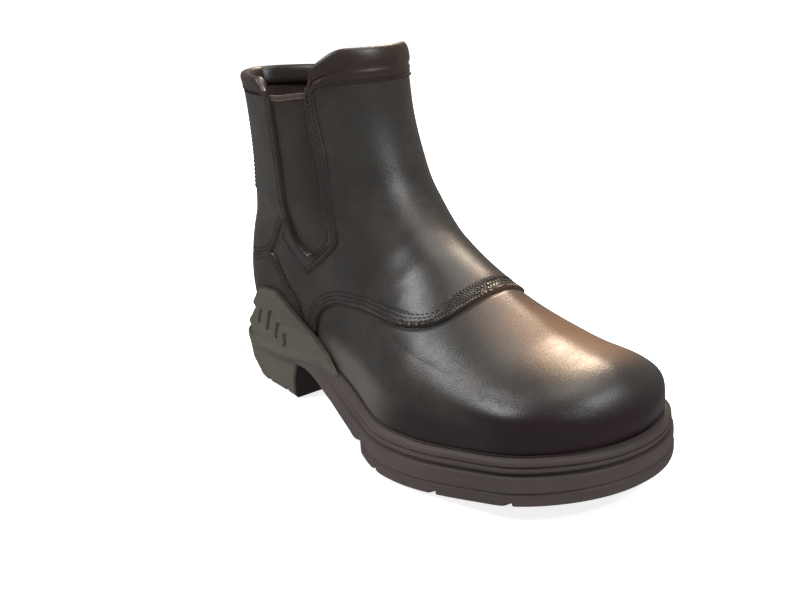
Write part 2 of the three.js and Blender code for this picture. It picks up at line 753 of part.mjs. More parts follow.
// Rings of the sole: each station has an outer-side and an inner-side point
const stationShares = Array.from({ length: SOLE_STATIONS + 1 }, (_, i) => shareOf(i / SOLE_STATIONS));
function soleRing(body, inset, level, from = 0, to = SOLE_LENGTH, flare = 0) {
  const start = Math.max(from, inset);
  const end = Math.min(to, SOLE_LENGTH - inset);
  const at = (share, side) => {
    const s = start + (end - start) * share;
    const width = Math.max(soleHalfWidth(s, side, inset), THIN) + flare * share ** 2;
    return new THREE.Vector3(s, centreLine(s) + side * width, level(s));
  };
  return body.ring([
    ...stationShares.map((share) => at(share, -1)),
    ...[...stationShares].reverse().map((share) => at(share, 1)),
  ]);
}

// Midsole: stepped side, groove, rounded rand, ledge and a platform for the foot
function midsole() {
  const body = new Body();
  const bottom = (s) => archLevel(s) + TREAD_THICKNESS + CLEAR;
  const rings = [soleRing(body, RAND_LEDGE, bottom)];
  SIDE_STEPS.forEach(([share, inset]) => {
    rings.push(soleRing(body, inset, (s) => bottom(s) + (randTop(s) - bottom(s)) * share));
  });
  const inner = (level, distance) => {
    const turns = (share) => Math.acos(1 - 2 * share) / Math.PI;
    const point = (share, side) => {
      const u = clamp(turns(share), END_TURN, 1 - END_TURN);
      return offsetPoint(side < 0 ? u : 2 - u, level(share * UPPER_LENGTH), distance);
    };
    return body.ring([
      ...stationShares.map((share) => point(share, -1)),
      ...[...stationShares].reverse().map((share) => point(share, 1)),
    ]);
  };
  rings.push(inner(randTop, 2 * CLEAR));
  rings.push(inner((s) => (randTop(s) + platform(s)) / 2, 2 * CLEAR));
  rings.push(inner(platform, 2 * CLEAR));
  for (let i = 1; i < rings.length; i++) body.join(rings[i - 1], rings[i]);
  body.ladder(rings[0], false);
  body.ladder(rings[rings.length - 1], true);
  return body.solid();
}
// The rand leaves room for the overlays where they run down into it.
const lapEnd = vampSeam[0][0] + LAP_REACH;
const lapFloor = overlayFoot - CLEAR;
const lapOutline = [[-FAR, lapFloor], [lapEnd, lapFloor], [lapEnd, FAR], [-FAR, FAR]];
const lapRoom = wallBetween(-0.2, OVERLAY_GAP + OVERLAY + CLEAR).intersect(sidePrism(lapOutline, -FAR, FAR));
add("midsole", midsole().subtract(lapRoom).subtract(upperRoom), RUBBER);

// Heel cup around the counter, with slits in an oval field
const cupTop = (s) => CUP_HEIGHT * flowThrough(CUP_EDGE, s / CUP_LENGTH);
function heelCup() {
  const outerWall = new Body();
  const inside = OVERLAY_GAP + OVERLAY + 2 * CLEAR;
  const columns = Array.from({ length: 2 * SIDE_COLUMNS }, (_, i) => i / SIDE_COLUMNS);
  const levels = [0, 0.15, 0.3, 0.5, 0.7, 0.85, 0.94, 1];
  const bottom = RAND_HEIGHT - WALL;
  const heightAt = (share) => bottom + (CUP_HEIGHT + CLEAR - bottom) * share;
  const bulge = (share) =>
    CUP_BULGE * (Math.sin(Math.PI * clamp(share / 0.85, 0, 1)) - 0.75 * smooth(0.9, 1, share));
  const out = (share) => inside + CUP_WALL + bulge(share);
  const outer = levels.map((v) => outerWall.ring(columns.map((u) => offsetPoint(u, heightAt(v), out(v)))));
  const inner = levels.map((v) => outerWall.ring(columns.map((u) => offsetPoint(u, heightAt(v), inside))));
  const last = levels.length - 1;
  for (let k = 0; k < last; k++) {
    outerWall.join(outer[k], outer[k + 1]);
    outerWall.join(inner[k + 1], inner[k]);
  }
  outerWall.join(inner[0], outer[0]);
  outerWall.join(outer[last], inner[last]);
  const foot = RAND_HEIGHT + CLEAR;
  const outline = [[-FAR, foot], [-FAR, cupTop(-FAR)]];
  for (let i = 0; i <= CUP_STEPS; i++) {
    const s = (i / CUP_STEPS) * CUP_LENGTH;
    if (cupTop(s) > foot + CLEAR) outline.push([s, cupTop(s)]);
  }
  outline.push([lastOf(outline)[0] + NEAR, foot]);
  let cup = outerWall.solid().intersect(sidePrism(outline, -FAR, FAR));
  const skin = wallBetween(inside + CUP_WALL + CUP_BULGE - SLIT_DEPTH, inside + 2 * CUP_WALL);
  CUP_SLITS.forEach(([along, high, tall, lean]) => {
    const s = along * SOLE_LENGTH;
    const z = high * CUP_HEIGHT;
    const half = (tall * CUP_HEIGHT) / 2;
    const slit = Array.from({ length: SLIT_POINTS }, (_, i) => {
      const angle = (i / SLIT_POINTS) * 2 * Math.PI;
      const local = Math.sin(angle) * half;
      return [s + Math.cos(angle) * (SLIT_WIDTH / 2) + local * lean, z + local];
    });
    [-1, 1].forEach((side) => {
      cup = cup.subtract(skin.intersect(sideCutter(slit, side)));
    });
  });
  return cup;
}
add("heel_cup", heelCup(), CUP_RUBBER);

// A wedge that notches the edge of the tread on one side
function edgeNotch(s, side, level) {
  const edge = centreLine(s) + side * soleHalfWidth(s, side, 0);
  const half = LUG_NOTCH_WIDTH / 2;
  const outline = [
    [s - half, level - LUG_NOTCH_WIDTH],
    [s + half, level - LUG_NOTCH_WIDTH],
    [s + 0.3 * half, level + LUG_NOTCH_HEIGHT],
    [s - 0.3 * half, level + LUG_NOTCH_HEIGHT],
  ];
  const inward = edge - side * LUG_NOTCH_REACH;
  const outward = edge + side * LUG_NOTCH_REACH;
  return sidePrism(outline, Math.min(inward, outward), Math.max(inward, outward));
}
const bothSides = (solid, s, level) =>
  solid.subtract(edgeNotch(s, -1, level)).subtract(edgeNotch(s, 1, level));

// Heel block with a straight breast
function heelBlock() {
  const body = new Body();
  const low = soleRing(body, HEEL_TAPER + EDGE_ROUND, () => 0, 0, HEEL_LENGTH, HEEL_FLARE);
  const edge = soleRing(body, HEEL_TAPER, () => EDGE_ROUND, 0, HEEL_LENGTH, HEEL_FLARE);
  const high = soleRing(body, EDGE_ROUND, () => HEEL_HEIGHT, 0, HEEL_LENGTH, EDGE_ROUND);
  body.join(low, edge);
  body.join(edge, high);
  body.ladder(low, false);
  body.ladder(high, true);
  let block = body.solid();
  HEEL_NOTCHES.forEach((share) => {
    block = bothSides(block, share * HEEL_LENGTH, 0);
  });
  return block;
}
add("heel_block", heelBlock(), CUP_RUBBER);

// Outsole from the heel's breast to the toe, with notched edges
function outsole() {
  const body = new Body();
  const start = HEEL_LENGTH + CLEAR;
  const low = soleRing(body, 2 * EDGE_ROUND, archLevel, start);
  const edge = soleRing(body, 0, (s) => archLevel(s) + EDGE_ROUND, start);
  const high = soleRing(body, EDGE_ROUND / 2, (s) => archLevel(s) + TREAD_THICKNESS, start);
  body.join(low, edge);
  body.join(edge, high);
  body.ladder(low, false);
  body.ladder(high, true);
  let tread = body.solid();
  TREAD_NOTCHES.forEach((share) => {
    const s = share * SOLE_LENGTH;
    tread = bothSides(tread, s, archLevel(s));
  });
  return tread;
}
add("outsole", outsole(), RUBBER);

export default group;
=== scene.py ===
"""Looks of a right side gore work boot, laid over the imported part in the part's own frame."""
import math

import bpy
import numpy as np
from mathutils import Matrix, Vector


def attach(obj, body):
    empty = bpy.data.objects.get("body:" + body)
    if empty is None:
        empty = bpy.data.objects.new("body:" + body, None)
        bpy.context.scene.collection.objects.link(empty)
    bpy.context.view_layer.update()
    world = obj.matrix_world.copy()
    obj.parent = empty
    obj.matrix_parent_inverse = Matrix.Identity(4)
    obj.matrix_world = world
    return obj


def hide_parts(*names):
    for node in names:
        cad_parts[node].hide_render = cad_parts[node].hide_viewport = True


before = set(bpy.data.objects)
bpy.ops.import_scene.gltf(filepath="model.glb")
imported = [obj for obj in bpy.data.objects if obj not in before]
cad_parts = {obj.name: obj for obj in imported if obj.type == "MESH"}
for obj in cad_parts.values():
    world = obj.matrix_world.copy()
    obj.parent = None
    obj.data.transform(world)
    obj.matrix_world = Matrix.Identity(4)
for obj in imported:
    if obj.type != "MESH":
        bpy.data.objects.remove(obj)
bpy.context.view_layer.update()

# Sizes of the boot in millimetres. s runs along the sole from its back, z up from the floor.
MM = 0.001
SOLE_LENGTH = 300
HEEL_HALF_WIDTH = 34
WAIST = (45.8, 36)
BALL = (67.5, 51.5)
TOE = (58.5, 57.5)
TOE_END_SHARE = 0.82
TOE_SWING = 7
HEEL_SHIFT = 0.4
TOE_ROUNDING = 42
HEEL_ROUNDING = 38
HEEL_SQUARENESS = 3
INSET_SOFTENING = 27
TOE_SQUARENESS = (2.3, 2.1)
TOE_SPRING = 11
HEEL_LENGTH = 73
HEEL_FLARE = 6.5
HEEL_HEIGHT = 20
HEEL_TAPER = 3.7
ARCH_LENGTH = 86
TREAD_THICKNESS = 6.5
EDGE_ROUND = 0.8
RAND_HEIGHT = 29
PLATFORM_BALL = 19
PLATFORM_HEEL = 26
CUP_HEIGHT = 61
CUP_LENGTH = 120
CUP_WALL = 3.4
CUP_BULGE = 4.1
CUP_CORNER_BULGE = 1.1
UPPER_LENGTH = SOLE_LENGTH - 3
UPPER_INSET = 8
LEATHER_SPREAD = 3.2
SPREAD_HEIGHT = 13
CREST_ROUND = 0.09
CREST_POWER = 1.45
FOOT_POWER = 2.22
FOOT_FULLNESS = 0.03
FEATHER_HEEL = 30
FEATHER_TOE = 42
TOE_TUCK = 4.5
TOE_BOX_START = UPPER_LENGTH - 55
TOE_BOX_HEIGHT = 72.5
TOE_CURVE = 2.27
COLLAR_FRONT = 205
COLLAR_BACK = COLLAR_FRONT - 13
GORE_TOP = COLLAR_BACK - 13
GORE_RISE = 3
SHAFT_HALF_WIDTH = 35.7
SHAFT_WIDEST = 0.56
SHAFT_REAR_POWER = 1.75
SHAFT_FRONT_POWERS = (2.3, 2.1)
WALL = 2.2
CLEAR = 0.3
ROLL_THICKNESS = 6.6
ROLL_OUT = 2.6
ROLL_END = 3
BACK_ROLL_HEIGHT = 10
FRONT_ROLL_HEIGHT = 18.6
INSOLE_THICKNESS = 4
STRAP_WIDTH = 40
STRAP_THICKNESS = 1.6
STRAP_BOW = 0.2
STRAP_BOTTOM = 118
FAR = 400

# Share of the upper's length, share of the front or back collar's height.
FRONT_PROFILE = [(0.4175, 1.02), (0.429, 0.956), (0.4407, 0.82), (0.4646, 0.712), (0.4973, 0.6195),
                 (0.5613, 0.5317), (0.6539, 0.4585)]
BACK_PROFILE = [(0.037, 0.08), (0.037, 0.156), (0.0128, 0.271), (0.008, 0.443), (0.027, 0.583),
                (0.0405, 0.729), (0.0365, 0.885), (0.0175, 1.03)]
SHAFT_WIDTHS = [(0.156, 0.896), (0.3125, 0.896), (0.469, 0.925), (0.625, 0.98), (0.833, 0.985), (1.04, 1)]
# Seams in side view: share of the upper's length, share of the gore's top for the first two, of the front
# collar for the vamp seam and of the back collar for the last two.
GORE_WINDOW = [(0.2395, 1.1), (0.2395, 1), (0.2485, 0.84), (0.251, 0.67), (0.2505, 0.6), (0.2575, 0.548),
               (0.284, 0.511), (0.3075, 0.503), (0.3315, 0.518), (0.3625, 0.552), (0.379, 0.596),
               (0.376, 0.65), (0.365, 0.78), (0.3475, 0.9), (0.3405, 1), (0.3405, 1.1)]
GORE_BORDER = [(0.2255, 1.1), (0.2255, 1), (0.2325, 0.84), (0.2345, 0.67), (0.226, 0.59), (0.2061, 0.5436),
               (0.2354, 0.485), (0.269, 0.439), (0.2795, 0.4355), (0.3549, 0.507), (0.402, 0.562),
               (0.408, 0.6), (0.397, 0.68), (0.3815, 0.82), (0.365, 0.93), (0.3589, 1), (0.3589, 1.1)]
VAMP_SEAM = [(0.2761, 0.139), (0.283, 0.22), (0.302, 0.268), (0.343, 0.305), (0.411, 0.3365), (0.483, 0.347),
             (0.554, 0.348), (0.614, 0.351), (0.6615, 0.362), (0.683, 0.378), (0.695, 0.399),
             (0.722, 0.46)]
COUNTER_SEAM = [(-0.1, 0.41), (0.062, 0.405), (0.1495, 0.436), (0.205, 0.345), (0.2365, 0.293), (0.246, 0.21),
                (0.249, 0.1)]
BACK_PANEL_EDGE = [(-0.1, 0.41), (0.062, 0.405), (0.143, 0.436), (0.172, 0.475), (0.2025, 0.53),
                   (0.236, 0.57)]
# Slits of the heel cup: middle along the sole, middle of height, length, lean forward.
CUP_SLITS = [(0.128, 0.706, 0.17, 0), (0.158, 0.687, 0.235, 0.05), (0.188, 0.621, 0.184, 0.03),
             (0.214, 0.543, 0.108, -0.05)]
HEEL_NOTCHES = (0.5, 0.81)
TREAD_NOTCHES = (0.607, 0.748, 0.889)
# The rand's top edge: share of the sole's length, share of the rand's height.
RAND_PROFILE = [(0, 1), (0.36, 1), (0.42, 0.94), (0.47, 0.885), (0.7, 0.885), (0.8, 0.97), (0.9, 1.09),
                (0.95, 1.14), (1, 1.15)]
# Top edge of the heel cup: share of the cup's length, share of its height.
CUP_EDGE = [(-0.1, 0.77), (0.14, 0.775), (0.228, 0.885), (0.267, 0.967), (0.317, 1), (0.4, 1), (0.467, 0.94),
            (0.545, 0.844), (0.64, 0.734), (0.7, 0.672), (0.767, 0.616), (0.85, 0.562), (0.933, 0.511),
            (1, 0.462)]
# The midsole's side: share of the band's height, inset from the outline.
SIDE_STEPS = [(0, 0.9), (0.03, 0.35), (0.08, 0.1), (0.3, 0), (0.43, 0.15), (0.47, 0.6), (0.5, 1.8),
              (0.52, 2.5), (0.555, 2.6), (0.58, 2.2), (0.605, 1.3), (0.63, 0.95), (0.68, 1), (0.71, 1.35),
              (0.73, 2), (0.75, 2.05), (0.77, 1.5), (0.8, 1.15), (0.85, 1.3), (0.9, 1.9), (0.95, 3.1),
              (0.985, 4.4), (1, 5.2)]
# The same at the heel, where the side is plain, and the lengths between which the steps come in.
HEEL_STEPS = [(0, 0.2), (0.04, 0), (0.12, 0), (0.3, -0.3), (0.8, -0.6), (0.9, -0.4), (0.96, 0), (1, 0.9)]
STEPS_START = (72, 122)


def smooth(low, high, value):
    t = np.clip((np.asarray(value, float) - low) / (high - low), 0, 1)
    return t * t * (3 - 2 * t)


def hill(distance, width):
    """1 at distance 0, falling softly to 0 at about twice the width."""
    return np.exp(-((np.asarray(distance, float) / width) ** 2))


def flow_through(rows, x):
    """Value at x of a curve that runs through the rows without overshoot."""
    xs, ys = np.array(rows, float).T
    slopes = np.diff(ys) / np.diff(xs)
    before, after = slopes[:-1], slopes[1:]
    total = np.where(before + after == 0, 1, before + after)
    middle = np.where(before * after > 0, 2 * before * after / total, 0)
    tangents = np.concatenate([slopes[:1], middle, slopes[-1:]])
    v = np.clip(x, xs[0], xs[-1])
    i = np.clip(np.searchsorted(xs, v) - 1, 0, len(slopes) - 1)
    h = xs[i + 1] - xs[i]
    t = (v - xs[i]) / h
    return (ys[i] * (2 * t**3 - 3 * t**2 + 1) + ys[i + 1] * (3 * t**2 - 2 * t**3)
            + h * (tangents[i] * (t**3 - 2 * t**2 + t) + tangents[i + 1] * (t**3 - t**2)))


def curve_through(rows, steps=12):
    """Points of a soft curve through the rows."""
    points = np.array(rows, float)
    last = len(points) - 1
    t = np.linspace(0, last, len(points) * steps + 1)
    i = np.minimum(t.astype(int), last - 1)
    w = (t - i)[:, None]
    p0, p1 = points[np.maximum(i - 1, 0)], points[i]
    p2, p3 = points[i + 1], points[np.minimum(i + 2, last)]
    v0, v1 = (p2 - p0) / 2, (p3 - p1) / 2
    return (2 * p1 - 2 * p2 + v0 + v1) * w**3 + (-3 * p1 + 3 * p2 - 2 * v0 - v1) * w**2 + v0 * w + p1


def scaled(rows, length, height):
    return [(a * length, b * height) for a, b in rows]


# Sole outline
def centre_line(s):
    return TOE_SWING * smooth(-0.35 * SOLE_LENGTH, 0.98 * SOLE_LENGTH, s) - HEEL_SHIFT


def width_rows(side):
    """Half widths along the sole: side is 0 for the outer side and 1 for the inner one."""
    ball_at = 0.645 if side == 0 else 0.715
    widths = [(0, HEEL_HALF_WIDTH - 1), (0.13, HEEL_HALF_WIDTH), (0.27, HEEL_HALF_WIDTH - 0.5),
              (0.44, WAIST[side]), (ball_at, BALL[side]), (0.86, TOE[side]), (1, TOE_END_SHARE * TOE[side])]
    return scaled(widths, SOLE_LENGTH, 1)


along_sole = np.arange(-40.0, SOLE_LENGTH + 41)


def softened(values, reach=10):
    """Values averaged along the sole, so that light runs over them without a kink."""
    weights = np.hanning(2 * reach + 3)[1:-1]
    padded = np.pad(values, reach, mode="edge")
    return np.convolve(padded, weights / weights.sum(), mode="valid")


outer_widths = softened(flow_through(width_rows(0), along_sole))
inner_widths = softened(flow_through(width_rows(1), along_sole))


def sole_half_width(s, side, inset):
    """Half width of the sole on one side: side is -1 for the outer side and 1 for the inner one."""
    outer, inner = np.interp(s, along_sole, outer_widths), np.interp(s, along_sole, inner_widths)
    plain = np.where(np.asarray(side) < 0, outer, inner) - inset
    from_back = np.clip((s - inset) / HEEL_ROUNDING, 0, 1)
    from_toe = np.clip((SOLE_LENGTH - inset - s) / TOE_ROUNDING, 0, 1)
    squareness = HEEL_SQUARENESS - INSET_SOFTENING * inset / SOLE_LENGTH
    bend, fill = TOE_SQUARENESS
    back_round = np.sqrt(np.maximum(0, 1 - (1 - from_back) ** squareness))
    toe_round = np.maximum(0, 1 - (1 - from_toe) ** bend) ** (1 / fill)
    return plain * back_round * toe_round


def ground_level(s):
    return TOE_SPRING * smooth(0.66 * SOLE_LENGTH, 1.03 * SOLE_LENGTH, s)


def arch_level(s):
    rise = HEEL_HEIGHT - TREAD_THICKNESS
    return rise * smooth(HEEL_LENGTH + ARCH_LENGTH, HEEL_LENGTH, s) + ground_level(s)


def rand_top(s):
    return RAND_HEIGHT * flow_through(RAND_PROFILE, np.asarray(s, float) / SOLE_LENGTH)


def platform(s):
    heel = (PLATFORM_HEEL - PLATFORM_BALL) * smooth(0.55 * SOLE_LENGTH, 0.25 * SOLE_LENGTH, s)
    return PLATFORM_BALL + heel + 0.45 * ground_level(s)


# Upper in side view
def toe_box():
    last_share, last_height = FRONT_PROFILE[-1]
    fall = TOE_BOX_HEIGHT - last_height * COLLAR_FRONT
    slope = fall / (TOE_BOX_START - last_share * UPPER_LENGTH)
    angle = np.arange(1, 41) / 40 * math.pi / 2
    reach = UPPER_LENGTH - TOE_BOX_START
    along = np.sin(angle) ** (2 / TOE_CURVE)
    drop = np.maximum(0, np.cos(angle)) ** (2 / TOE_CURVE)
    height = FEATHER_TOE + (TOE_BOX_HEIGHT - FEATHER_TOE) * drop + slope * reach * along * (1 - along) ** 2
    return np.stack([TOE_BOX_START + reach * along, height], 1)


front_rows = scaled(FRONT_PROFILE, UPPER_LENGTH, COLLAR_FRONT) + [(TOE_BOX_START, TOE_BOX_HEIGHT)]
front_shaft = curve_through(front_rows)
toe_tuck = np.array([(UPPER_LENGTH - back * TOE_TUCK, up * FEATHER_TOE)
                     for back, up in ((0.3, 0.86), (1, 0.7), (1.2, 0.3))])
front_line = np.concatenate([front_shaft, toe_box(), toe_tuck])
front_by_height = front_line[np.argsort(front_line[:, 1], kind="stable")]
front_by_length = np.concatenate([[(0, 2 * COLLAR_FRONT)], front_line[: -len(toe_tuck)]])
back_line = curve_through(scaled(BACK_PROFILE, UPPER_LENGTH, COLLAR_BACK))


def front_at(z):
    return np.interp(z, front_by_height[:, 1], front_by_height[:, 0])


def back_at(z):
    return np.interp(z, back_line[:, 1], back_line[:, 0])


along_upper = np.arange(0.0, UPPER_LENGTH + 0.25, 0.5)
sharp_ridge = np.interp(along_upper, front_by_length[:, 0], front_by_length[:, 1])
near_shaft = smooth(0.48 * UPPER_LENGTH, 0.44 * UPPER_LENGTH, along_upper)
soft_ridge = sharp_ridge * (1 - near_shaft) + softened(sharp_ridge, 40) * near_shaft


def ridge_at(s):
    return np.interp(s, along_upper, soft_ridge)


def oval_of(share):
    """Half width of the shaft's oval, as a share of its widest."""
    behind = share < SHAFT_WIDEST
    away = np.abs(share - SHAFT_WIDEST) / np.where(behind, SHAFT_WIDEST, 1 - SHAFT_WIDEST)
    rear = np.maximum(0, 1 - away**SHAFT_REAR_POWER) ** (1 / SHAFT_REAR_POWER)
    bend, fill = SHAFT_FRONT_POWERS
    front = np.maximum(0, 1 - away**bend) ** (1 / fill)
    return np.where(behind, rear, front)


def share_of(u):
    """Share of the way from back to front at turn u: 0 at the back, 1 at the front, 2 at the back again."""
    return (1 - np.cos(math.pi * np.asarray(u, float))) / 2


def share_of_turn(share):
    """Turn from 0 to 1 at a share of the way from back to front."""
    return np.arccos(1 - 2 * share) / math.pi


oval_turns = np.linspace(0, 1, 401)
plain_oval = oval_of(share_of(oval_turns))
near_widest = hill(oval_turns - share_of_turn(SHAFT_WIDEST), 0.16)
shaft_oval = plain_oval * (1 - near_widest) + softened(plain_oval, 36) * near_widest


def crest(drop):
    """Half width of the foot at a drop below its ridge, both as shares: a soft crest without a kink."""
    def rounded(height):
        return (height + CREST_ROUND**CREST_POWER) ** (2 / CREST_POWER) - CREST_ROUND**2
    return np.sqrt(np.maximum(rounded(drop), 0) / rounded(1))


def upper_half_width(s, z, side):
    """Half width of the upper. Low down it follows the foot, higher up the shaft's oval."""
    back, front, heel = back_at(z), front_at(z), back_at(FEATHER_HEEL)
    feather = FEATHER_HEEL + (FEATHER_TOE - FEATHER_HEEL) * smooth(0.52 * SOLE_LENGTH, UPPER_LENGTH, s)
    rise = np.clip((z - feather) / np.maximum(ridge_at(s) - feather, 1e-6), 0, 1)
    fullness = 1 + FOOT_FULLNESS * np.sin(np.clip(rise / 0.5, 0, 1) * math.pi)
    low_front = front_at(np.minimum(z, FEATHER_TOE))
    shifted = s - (back - heel) * smooth(0.42 * SOLE_LENGTH, 0.087 * SOLE_LENGTH, s)
    on_sole = UPPER_INSET + (shifted - heel) / (low_front - heel) * (SOLE_LENGTH - 2 * UPPER_INSET)
    foot = sole_half_width(on_sole, side, UPPER_INSET) * crest(1 - rise**FOOT_POWER) * fullness
    spread = LEATHER_SPREAD * smooth(rand_top(s) + SPREAD_HEIGHT, rand_top(s), z)
    foot = foot * (1 + spread / np.maximum(foot, SOLE_LENGTH / 10))
    share = np.clip((s - back) / np.maximum(front - back, 1e-6), 0, 1)
    widths = np.interp(z / COLLAR_BACK, *np.array(SHAFT_WIDTHS).T)
    shaft = SHAFT_HALF_WIDTH * widths * np.interp(share_of_turn(share), oval_turns, shaft_oval)
    high = smooth(0.3125 * COLLAR_BACK, 0.651 * COLLAR_BACK, z)
    return foot * (1 - high) + shaft * high


def upper_point(u, z):
    u, z = np.broadcast_arrays(np.asarray(u, float), np.asarray(z, float))
    side = np.where(np.mod(u, 2) < 1, -1, 1)
    back = back_at(z)
    s = back + (front_at(z) - back) * share_of(u)
    return np.stack([s, centre_line(s) + side * upper_half_width(s, z, side), z], -1)


def upper_normal(u, z):
    du, dz = 0.012, 0.0034 * COLLAR_FRONT
    across = upper_point(u + du, z) - upper_point(u - du, z)
    up = upper_point(u, z + dz) - upper_point(u, z - dz)
    normal = np.cross(across, up)
    return normal / np.linalg.norm(normal, axis=-1, keepdims=True)


def offset_point(u, z, distance):
    distance = np.broadcast_to(np.asarray(distance, float), np.broadcast_shapes(np.shape(u), np.shape(z)))
    return upper_point(u, z) + upper_normal(u, z) * distance[..., None]


FRONT_WALL_TOP = COLLAR_FRONT - FRONT_ROLL_HEIGHT
BACK_WALL_TOP = GORE_TOP


def wall_top(share):
    rise = FRONT_WALL_TOP - BACK_WALL_TOP - GORE_RISE
    return BACK_WALL_TOP + GORE_RISE * smooth(0.5, 0.8, share) + rise * smooth(0.74, 0.95, share)


def profile_spacing(line, low, high):
    """Heights spaced evenly by length along a profile: shares of the length, heights."""
    part = line[(line[:, 1] > low) & (line[:, 1] < high)]
    part = part[np.argsort(part[:, 1], kind="stable")]
    points = np.concatenate([[(part[0, 0], low)], part, [(part[-1, 0], high)]])
    length = np.concatenate([[0], np.cumsum(np.hypot(*np.diff(points, axis=0).T))])
    return length / length[-1], points[:, 1]


lowest_back, lowest_toe = platform(0) + CLEAR, platform(UPPER_LENGTH) + CLEAR
back_spacing = profile_spacing(back_line, lowest_back, BACK_WALL_TOP)
front_spacing = profile_spacing(front_line, lowest_toe, FRONT_WALL_TOP)


def ring_height(u, v):
    """Height at turn u on the ring at share v of the way up the upper."""
    share = share_of(u)
    height = np.interp(v, *back_spacing) * (1 - share) + np.interp(v, *front_spacing) * share
    middle = platform(share * UPPER_LENGTH) + CLEAR
    straight = lowest_back * (1 - share) + lowest_toe * share
    level = BACK_WALL_TOP * (1 - share) + FRONT_WALL_TOP * share
    return height + (middle - straight) * (1 - v) ** 6 + (wall_top(share) - level) * v**6


# Meshes
def to_frame(places):
    """Millimetres along the sole to metres in the part's frame."""
    return (np.asarray(places, float).reshape(-1, 3) - (HEEL_LENGTH / 2, 0, 0)) * MM


def piece(name, places, faces, finish, slot, crease_angle=50, stands_for=()):
    mesh = bpy.data.meshes.new(name)
    mesh.from_pydata(to_frame(places).tolist(), [], faces)
    mesh.polygons.foreach_set("use_smooth", [True] * len(mesh.polygons))
    mesh.set_sharp_from_angle(angle=math.radians(crease_angle))
    mesh.materials.append(finish)
    made = bpy.data.objects.new(name, mesh)
    bpy.context.scene.collection.objects.link(made)
    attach(made, "root")
    if stands_for:
        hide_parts(*stands_for)
    return made


class Form:
    """Rows of vertices joined by faces, in millimetres."""

    def __init__(self):
        self.places, self.faces, self.count = [], [], 0

    def row(self, places):
        places = np.asarray(places, float).reshape(-1, 3)
        self.places.append(places)
        self.count += len(places)
        return np.arange(self.count - len(places), self.count)

    def skin(self, rows, closed=False, turned=False):
        """Quads between neighbouring rows of indices."""
        grid = np.array(rows)
        if closed:
            grid = np.concatenate([grid, grid[:, :1]], 1)
        a, b, c, d = grid[:-1, :-1], grid[:-1, 1:], grid[1:, 1:], grid[1:, :-1]
        quads = np.stack([d, c, b, a] if turned else [a, b, c, d], -1).reshape(-1, 4)
        self.faces.extend(quads.tolist())

    def cap(self, ring, up):
        order = list(map(int, ring))
        self.faces.append(order if up else order[::-1])

    def build(self, name, finish, slot, **options):
        return piece(name, np.concatenate(self.places), self.faces, finish, slot, **options)


